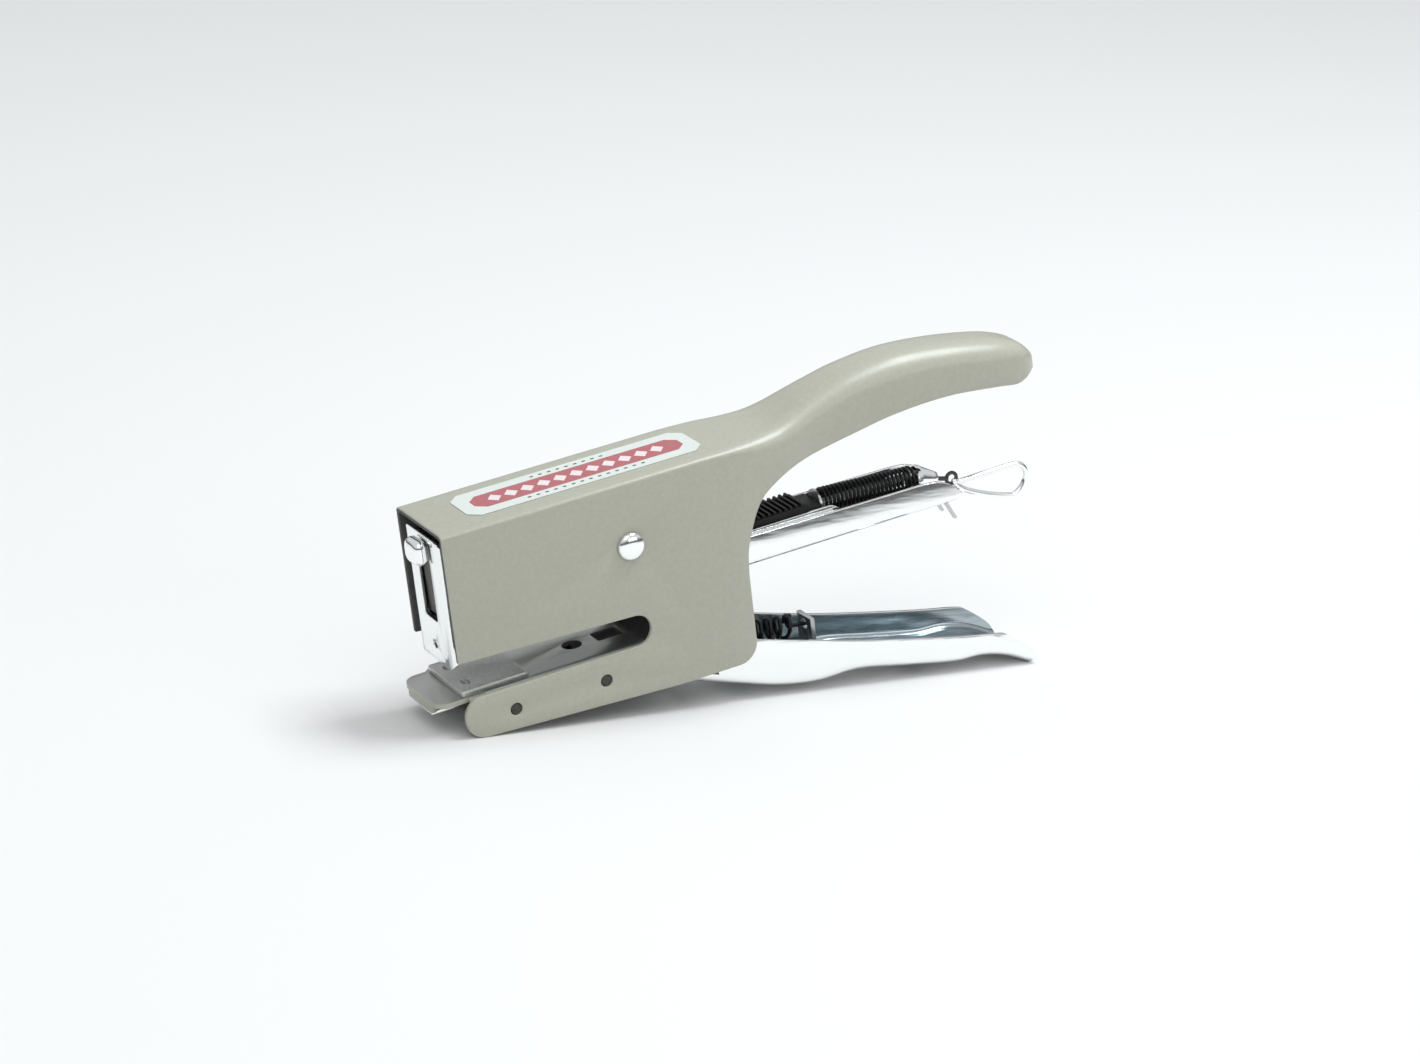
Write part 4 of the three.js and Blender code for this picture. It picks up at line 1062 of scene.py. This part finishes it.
# share of the reach, drop below the root
LEVER_UNDERSIDE = [
    (0.0, 0.1),
    (0.159, 5.8),
    (0.266, 9.5),
    (0.377, 11.8),
    (0.492, 12.1),
    (0.632, 15.3),
    (0.775, 18.5),
    (0.849, 19.1),
    (0.921, 21.3),
    (0.986, 24.8),
]
LEVER_RIM = [
    (1.0, 23.5),
    (0.982, 20.4),
    (0.927, 15.6),
    (0.895, 14.2),
    (0.783, 11.7),
    (0.612, 7.4),
    (0.472, 3.6),
    (0.253, -3.1),
    (0.212, -4.4),
]
WEB_START = 59.0
SHADED_UP_TO = 64.0  # the lever's faces in front of this, above SHADED_ABOVE, are painted near-black as shade
SHADED_ABOVE = -49.0
FLARE = {"share": 0.986, "slope": 0.55}  # where the tail turns down, and how steeply


def lever_point(share, drop):
    return LEVER_ROOT[0] + share * LEVER_REACH, LEVER_ROOT[1] - drop


def lever_outline():
    """The side view: along the underside, back along the rim, and up round the pivot."""
    x, z = PIVOT
    line = spline([lever_point(*row) for row in LEVER_UNDERSIDE], 8)
    line += spline([lever_point(*row) for row in LEVER_RIM], 8)
    a, b = Vector(line[-1]), Vector((x + 8, z - 3))
    pull = Vector((x + 22, z - 20))
    for i in range(1, 13):
        t = i / 12
        line.append(tuple(a * (1 - t) ** 2 + pull * 2 * t * (1 - t) + b * t * t))
    line += [(50, -4.5), (38.5, -4.5), (37, -6)]
    line += arc(x, z, 6.8, 184, 252, 8)
    return line + [(49.6, -30.1), (49.6, -44.8)]


def lever_floor(x):
    """The height of the lever's underside."""
    return LEVER_ROOT[1] - smooth(LEVER_UNDERSIDE, 1, (x - LEVER_ROOT[0]) / LEVER_REACH)


def lever_ring(x, inset, radius):
    """The lever's section at one x: a tall U's filled shape."""
    floor = lever_floor(x) + inset
    flare = LEVER_ROOT[0] + LEVER_REACH * FLARE["share"]
    if x > flare:
        floor -= (x - flare) * FLARE["slope"]
    half = LEVER_HALF - inset
    ring = [(x, -half, FAR)]
    for i in range(9):
        t = math.pi / 2 * i / 8
        ring.append((x, radius - half - radius * math.cos(t), floor + radius - radius * math.sin(t)))
    return ring + [(px, -py, pz) for px, py, pz in reversed(ring)]


def lever_skin(name, start, end, inset, radius, step=2.0):
    count = int((end - start) / step)
    stations = [start + (end - start) * i / count for i in range(count + 1)]
    return skin(name, [lever_ring(x, inset, radius) for x in stations])


def make_lever():
    lever = prism("lever_body", lever_outline(), -LEVER_HALF, LEVER_HALF)
    front, inner = LEVER_ROOT[0], LEVER_HALF - SHEET
    block = lever_skin("round", front, 152, 0, 2.6)
    arm = box("arm", (30, front + 0.5), (-LEVER_HALF, LEVER_HALF), (-90, 20))
    combine(block, arm, "UNION")
    combine(lever, block, "INTERSECT")
    hollow = lever_skin("hollow", WEB_START, 160, SHEET, 1.5)
    gap = box("gap", (20, WEB_START + 0.5), (-inner, inner), (-90, 20))
    cut(lever, hollow, gap, pivot_bore())
    flatten(lever)
    soften(lever, 0.25, 2, 40, clamp=True)
    # The faces are split at SHADED_UP_TO so that the front can be painted as shade.
    split_across(lever, SHADED_UP_TO)
    modify(lever, "WEIGHTED_NORMAL", keep_sharp=True, weight=60)
    finish(lever, "lever_channel", "lever", CHROME, "chrome", "lever", crease=50)

    # Inner faces take the darker chrome as painted shade and painted reflection.
    def inside(at, facing):
        return abs(at.y) < inner + 0.25 and (facing.z > 0.2 or facing.y * at.y < 0)

    # Faces in front of SHADED_UP_TO, inside the casing, are painted near-black as shade.
    def shaded(at, facing):
        return at.x < SHADED_UP_TO and at.z > SHADED_ABOVE

    paint_faces(lever, SHADED_LEVER_CHROME, inside)
    paint_faces(lever, PAINTED_SHADE, shaded)


RAM = {"half": 2.2, "top": -4.6, "bottom": -8.3, "reach": 0.25, "rear": 46.0}
RAM_HEAD = {"half": 3.5, "top": -3.0, "bottom": -9.0, "corner": 1.8}
# how far in front of the nose, and how far in from the head's outline
RAM_HEAD_RINGS = [(0.37, 0.3), (0.6, 0), (1.5, 0), (2.2, 0.18), (2.7, 0.5), (3.0, 1.0), (3.17, 1.7)]
SPRING_BRACKET = {"x": 92.4, "sheet": 1.2, "half": 3.4, "hole": -52.6}
RETURN_SPRING = {"front": 40.5, "rear": 88.5, "radius": 3.1, "wire": 0.5, "turns": 19}


def make_ram():
    bridge_half = LEVER_HALF - SHEET - 0.12
    ram = box("ram", (-RAM["reach"], RAM["rear"]), (-RAM["half"], RAM["half"]), (RAM["bottom"], RAM["top"]))
    combine(ram, box("bridge", (38.5, 50), (-bridge_half, bridge_half), (-6.7, -4.7)), "UNION")
    soften(ram, 0.3, 2)
    finish(ram, "ram_bar", "lever", BRIGHT, "bright_steel", "driver_ram")

    rings = []
    for ahead, inset in RAM_HEAD_RINGS:
        half = RAM_HEAD["half"] - inset
        corner = max(RAM_HEAD["corner"] - inset * 0.4, 0.6)
        outline = rounded(-half, half, RAM_HEAD["bottom"] + inset, RAM_HEAD["top"] - inset, corner, 6)
        rings.append([(-ahead, a, b) for a, b in outline])
    head = skin("ram_button", rings)
    finish(head, "ram_button", "lever", CHROME, "chrome", "ram_head", crease=60)


def make_spring_anchor():
    """A bent bracket on the lever's floor, with a hole for the spring's rear hook."""
    x, sheet, half = SPRING_BRACKET["x"], SPRING_BRACKET["sheet"], SPRING_BRACKET["half"]
    rear = x + 8
    line = bent([(x, -50.5), (x, lever_floor(x) + 1.6), (rear, lever_floor(rear) + 1.5)], 1.9)
    bracket = prism("bracket", thicken(line, sheet), -half, half)
    cut(bracket, plain_bar("bore", (x - 3, 0, SPRING_BRACKET["hole"]), (1, 0, 0), 1.3, 8))
    soften(bracket, 0.2, 2)
    finish(bracket, "spring_bracket", "lever", BRIGHT, "bright_steel", "spring_anchor")


def end_turn(name, middle, rise, ahead, radius, wire):
    """The last half turn of a spring, which winds in to its middle."""
    ring = []
    for i in range(9):
        a = math.radians(22 * i)
        out = rise * math.cos(a) + Vector((0, 1, 0)) * math.sin(a)
        ring.append(middle + out * (radius - wire) * (1 - i / 9) + ahead * 0.05 * i)
    return tube(name, ring, wire, 9)


def make_return_spring():
    """An open tension spring: its front hook is on the rear jaw pin, its rear hook in the bracket."""
    pin = Vector((JAW_PINS[1][1], 0, JAW_PINS[1][2]))
    eye = Vector((SPRING_BRACKET["x"], 0, SPRING_BRACKET["hole"]))
    ahead = (eye - pin).normalized()
    rise = Vector((-ahead.z, 0, ahead.x))
    wire, radius = RETURN_SPRING["wire"], RETURN_SPRING["radius"]
    front, rear = (pin + ahead * ((RETURN_SPRING[k] - pin.x) / ahead.x) for k in ("front", "rear"))
    winding = coil("winding", front, rear, radius, wire, RETURN_SPRING["turns"], BLACK)
    angles = [math.radians(200 - 25 * i) for i in range(8)]
    hook = [pin + (ahead * math.cos(a) + rise * math.sin(a)) * 2.0 for a in angles]
    hook += [front - ahead, front + ahead * 0.2]
    tail = [rear - ahead * 0.2, rear + ahead, eye - ahead * 1.2]
    tail += [eye + ahead - rise * 0.1, eye + ahead * 1.9 - rise * 1.3]
    parts = [winding, tube("hook", hook, wire, 9), tube("tail", tail, wire, 9)]
    parts.append(end_turn("rim_front", front, rise, -ahead, radius, wire))
    parts.append(end_turn("rim_rear", rear, rise, ahead, radius, wire))
    spring = join("return_coil", *parts)
    finish(spring, "return_coil", None, BLACK, "black_steel", crease=60)
    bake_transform(spring)
    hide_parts("return_spring")


# ---------------------------------------------------------------- magazine
CHANNEL = {"half": 7.65, "sheet": 1.0, "floor": 30.8, "rim": 23.2, "front": 0.92, "rear": 129.5}
RAIL = {"half": 5.73, "sheet": 0.9, "top": 22.9, "front": 2.35, "rear": 102.5, "bottom": 29.68}
STAPLE = {"half": 6.35, "wire": 0.5, "width": 0.46, "pitch": 0.5, "leg": 6.2, "rear": 78.0}
RAIL_END_RADIUS = 3.2
NOSE = {"half": 8.57, "sheet": 0.8, "back": 0.8, "bottom": -33.2, "top": -2.0, "wrap": 6.5, "corner": 2.2}
NOSE_SLOT = {"half": 3.4, "bottom": -22.8, "top": -3.9, "corner": 0.9}
NOSE_HOLE = {"z": -29.1, "radius": 1.1}
CATCH = {"front": 116.0, "bend": 129.8, "bed": -29.68, "lean": 4.3, "drop": 7.3, "sheet": 0.7, "half": 3.6}
PRONG_WIDTH = 1.3
DRIVER = {"front": 1.1, "rear": 1.8, "bottom": -21.9, "top": -3.0}
DRIVER_WINDOW = {"half": 2.5, "bottom": -8.9, "top": -4.0}


def channel_outline():
    """The channel's side view: floor, sloped tail, rim, the ears round the pivot, and the nose."""
    x, z = PIVOT
    rim, floor, front, rear = CHANNEL["rim"], CHANNEL["floor"], CHANNEL["front"], CHANNEL["rear"]
    tip = rear + 4.4
    line = [(front, -floor), (rear, -floor), (tip - 1, -30.4)]
    line += spline([(tip, -29.1), (tip - 2.4, -26.6), (tip - 6.2, -24.6), (tip - 10.5, -24.0)], 6)
    line += [(x + 11.2, -rim)]
    line += arc(x, z, 6.2, -27, 207, 24)
    return line + [(x - 11.2, -rim), (9.5, -rim), (6.5, 3 - rim), (6.5, -4.6), (front, -4.6)]


def make_channel():
    half, sheet, floor = CHANNEL["half"], CHANNEL["sheet"], CHANNEL["floor"]
    inner = half - sheet
    channel = gutter("channel", CHANNEL["front"], 140, half, sheet, floor, 0, 1.6)
    combine(channel, prism("profile", channel_outline(), -ASIDE, ASIDE), "INTERSECT")
    mouth = box("mouth", (-1, 2.1), (-inner, inner), (-90, 5))
    tail = box("tail", (CHANNEL["rear"], 150), (-inner, inner), (-90, 5))
    cut(channel, mouth, tail, pivot_bore())
    soften(channel, 0.16, 2, 40)
    finish(channel, "magazine_trough", "magazine", CHROME, "chrome", "magazine_channel", crease=45)


def make_rail():
    """The inner channel that the staples straddle, with round rear corners."""
    front, rear, top, radius = RAIL["front"], RAIL["rear"], RAIL["top"], RAIL_END_RADIUS
    rail = gutter("rail", front, rear, RAIL["half"], RAIL["sheet"], RAIL["bottom"], top, 1.4)
    corner = [(rear - radius, 1 - top)] + arc(rear - radius, -top - radius, radius, 90, 0, 12)
    corner += [(rear + 1, -top - radius), (rear + 1, 1 - top)]
    cut(rail, prism("corner", corner, -ASIDE, ASIDE))
    soften(rail, 0.14, 2, 40)
    finish(rail, "staple_rail", "magazine", CHROME, "chrome", "inner_rail", crease=45)


def make_staples():
    """One staple of flat-sided wire, repeated along the rail."""
    half, wire, pitch = STAPLE["half"], STAPLE["wire"], STAPLE["pitch"]
    top = -RAIL["top"] + 0.12 + wire
    corners = [(half, top - STAPLE["leg"]), (half, top), (-half, top), (-half, top - STAPLE["leg"])]
    front = RAIL["front"]
    staple = prism("staple", thicken(bent(corners, 0.7, 2), wire), front, front + STAPLE["width"], "yz")
    count = int((STAPLE["rear"] - front) / pitch)
    grow(staple, ROW, Count=count, Step=(pitch, 0, 0), Material=WIRE_STEEL)
    finish(staple, "staple_row", "magazine", None, "bright_steel", "staple_strip", crease=30)


def make_nose_plate():
    half, sheet, back, low, high = (NOSE[k] for k in ("half", "sheet", "back", "bottom", "top"))
    corners = [(NOSE["wrap"], -half), (back - sheet, -half), (back - sheet, half), (NOSE["wrap"], half)]
    plate = prism("nose", thicken(bent(corners, 1.5, 6), -sheet), low, high, "xy")
    face = prism("face", rounded(-half, half, low, high, NOSE["corner"], 8), -5, 10, "yz")
    combine(plate, face, "INTERSECT")
    side, corner = NOSE_SLOT["half"], NOSE_SLOT["corner"]
    slot_outline = rounded(-side, side, NOSE_SLOT["bottom"], NOSE_SLOT["top"], corner, 5)
    slot = prism("slot", slot_outline, -5, 5, "yz")
    hole = plain_bar("hole", (-3, 0, NOSE_HOLE["z"]), (1, 0, 0), NOSE_HOLE["radius"], 6)
    foot = box("foot", (1.7, 10), (-ASIDE, ASIDE), (-60, -30.8))
    head = box("head", (1.7, 10), (-ASIDE, ASIDE), (-4.2, 10))
    cut(plate, slot, hole, foot, head)
    soften(plate, 0.14, 2, 40)
    finish(plate, "nose_face", "magazine", NOSE_CHROME, "chrome", "nose_plate", crease=45)


def make_tail_catch():
    """A strip on the channel's floor that ends in two prongs, bent down."""
    bend, bed, sheet, half = CATCH["bend"], CATCH["bed"], CATCH["sheet"], CATCH["half"]
    foot = (bend + CATCH["lean"] - sheet, bed - CATCH["drop"])
    line = bent([(CATCH["front"], bed), (bend, bed), foot], 1.2)
    catch = prism("catch", thicken(line, sheet), -half, half)
    inner = half - PRONG_WIDTH
    cut(catch, box("gap", (bend - 1, 150), (-inner, inner), (-60, 5)))
    soften(catch, 0.15, 2, 40)
    finish(catch, "tail_prongs", "magazine", BRIGHT, "bright_steel", "tail_catch", crease=45)


def make_driver():
    half, side = STAPLE["half"] - 0.12, DRIVER_WINDOW["half"]
    front, rear, bottom, top = (DRIVER[k] for k in ("front", "rear", "bottom", "top"))
    blade = box("blade", (front, rear), (-half, half), (bottom, top))
    cut(blade, box("window", (-5, 5), (-side, side), (DRIVER_WINDOW["bottom"], DRIVER_WINDOW["top"])))
    soften(blade, 0.1, 2)
    finish(blade, "driver_plate", "driver", BLUED, "blued_steel", "driver_blade")


# ---------------------------------------------------------------- follower, rod and springs
FOLLOWER = {"front": 78.3, "rear": 98.2, "half": 4.53, "top": -20.9, "bottom": -27.1}
RIB = {"first": 1.3, "pitch": 1.45, "wide": 0.95, "count": 10}
ROD = {"front": 5.0, "length": 121.7, "radius": 0.9, "z": -24.2}
FEED_SPRING = {
    "front": (99.6, 0, -23.6),
    "rear": (124.3, 0, -25.2),
    "radius": 3.3,
    "wire": 0.36,
    "turns": 23,
}
CONE = {"front": (125, 0, -25.2), "rear": (131.2, 0, -27.0)}
EYE = {"middle": (135.3, 0, -28.1), "radius": 1.35, "wire": 0.45, "shank": 0.55}
LOOP_WIRE = 0.7
LOOP_PATH = [
    (135.9, -29.0),
    (137.6, -29.5),
    (141.5, -29.5),
    (145.9, -29.5),
    (151.7, -29.5),
    (154.2, -30.0),
    (155.6, -32.3),
    (154.8, -35.0),
    (152.5, -37.0),
    (150.4, -36.9),
    (145.3, -35.2),
    (140.3, -32.9),
    (137.6, -31.2),
    (136.2, -29.7),
]


def make_follower():
    front, rear, half = FOLLOWER["front"], FOLLOWER["rear"], FOLLOWER["half"]
    top, low = FOLLOWER["top"], FOLLOWER["bottom"]
    line = [(front, low), (rear, low), (rear, top - 1.6), (rear - 3.2, top - 1.6), (rear - 3.8, top - 0.6)]
    line += [(front + 0.9, top - 0.6), (front, top - 1.5)]
    block = prism("block", line, -half, half)
    cut(block, plain_bar("bore", (front - 8, 0, ROD["z"]), (1, 0, 0), 1.2, 40))
    soften(block, 0.22, 2)
    first, wide = front + RIB["first"], RIB["wide"]
    tooth = [(first, top - 0.7), (first + wide, top - 0.7)]
    tooth += [(first + wide * 0.75, top), (first + wide * 0.25, top)]
    rib = prism("rib", tooth, 0.25 - half, half - 0.25)
    grow(rib, ROW, Count=RIB["count"], Step=(RIB["pitch"], 0, 0), Material=BLACK)
    block = join("follower_block", block, rib)
    finish(block, "follower_block", "follower", BLACK, "black_steel", "follower", crease=30)

    washer = closed_ring("spring_washer", (rear + 0.12, 0, -23.6), (1, 0, 0), 3.3, 1.3, 0.8)
    finish(washer, "spring_washer", "follower", BRIGHT, "bright_steel", "spring_collar")


def make_feed_rod():
    """The guide rod, and the stop at its front end that keeps the follower on it."""
    length, radius = ROD["length"], ROD["radius"]
    profile = [(0, 0), (0, 0.6), (0.3, radius), (length - 0.3, radius), (length, 0.6), (length, 0)]
    rod = turned("guide_rod", profile, (ROD["front"], 0, ROD["z"]), (1, 0, 0), 24)
    finish(rod, "guide_rod", "feed_rod", BRIGHT, "bright_steel", "feed_rod")

    profile = [(0, 0), (0, 1.0), (0.2, 1.25), (1.0, 1.25), (1.2, 1.0), (1.2, 0)]
    stop = turned("rod_end", profile, (3.68, 0, ROD["z"]), (1, 0, 0), 24)
    finish(stop, "rod_end", "feed_rod", BRIGHT, "bright_steel", "rod_stop")


def make_end_cone():
    """The cone that holds the spring on the rod, hollow where the spring sits in it."""
    start, end = Vector(CONE["front"]), Vector(CONE["rear"])
    length = (end - start).length
    profile = [(1.2, 0), (1.2, 2.3), (-0.4, 2.65), (-0.4, 3.1), (-0.2, 3.3), (0.8, 3.3), (1.2, 3.15)]
    profile += [(length - 1.6, 2.05), (length - 0.5, 1.75), (length - 0.1, 1.3), (length, 0)]
    cone = turned("end_cone", profile, start, end - start, 36)
    finish(cone, "end_cone", "feed_rod", CHROME, "chrome", "end_clip", crease=40)


def make_pull_loop():
    """The wire eye behind the cone, and the bent wire loop that a finger pulls."""
    middle, radius = Vector(EYE["middle"]), EYE["radius"]
    angles = [2 * math.pi * i / 28 for i in range(28)]
    ring = [middle + Vector((math.cos(a), 0, math.sin(a))) * radius for a in angles]
    eye = tube("eye", ring, EYE["wire"], 12, closed=True)
    shank = tube("shank", [(131.0, 0, -26.95), (132.6, 0, -27.45), (134.0, 0, -27.85)], EYE["shank"], 12)
    eye = join("wire_eye", eye, shank)
    finish(eye, "wire_eye", "feed_rod", BLUED, "blued_steel", "loop_eye", crease=60)

    loop = tube("finger_loop", [(x, 0, z) for x, z in spline(LOOP_PATH, 8)], LOOP_WIRE, 14)
    finish(loop, "finger_loop", "feed_rod", CHROME, "chrome", "pull_loop", crease=60)


def make_feed_spring():
    front, rear = FEED_SPRING["front"], FEED_SPRING["rear"]
    radius, wire, turns = (FEED_SPRING[k] for k in ("radius", "wire", "turns"))
    spring = coil("feed_coil", front, rear, radius, wire, turns, BLACK)
    finish(spring, "feed_coil", None, BLACK, "black_steel", crease=60)
    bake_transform(spring)
    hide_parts("feed_spring")


def make_bush():
    """The bush that spaces the magazine's ears on the rivet."""
    reach = CHANNEL["half"] - CHANNEL["sheet"] - 0.3
    bush = closed_ring("bush", (PIVOT[0], -reach, PIVOT[1]), (0, 1, 0), 3.16, 2.06, 2 * reach)
    finish(bush, "pivot_spacer", "casing", BRIGHT, "bright_steel", "pivot_bush")


make_camera()
make_studio()
make_casing()
make_label()
make_pivot()
make_jaw_pins()
make_bush()
make_anvil_plate()
make_anvil_die()
make_anvil_brace()
make_lever()
make_ram()
make_spring_anchor()
make_return_spring()
make_channel()
make_rail()
make_staples()
make_nose_plate()
make_tail_catch()
make_driver()
make_follower()
make_feed_rod()
make_end_cone()
make_pull_loop()
make_feed_spring()
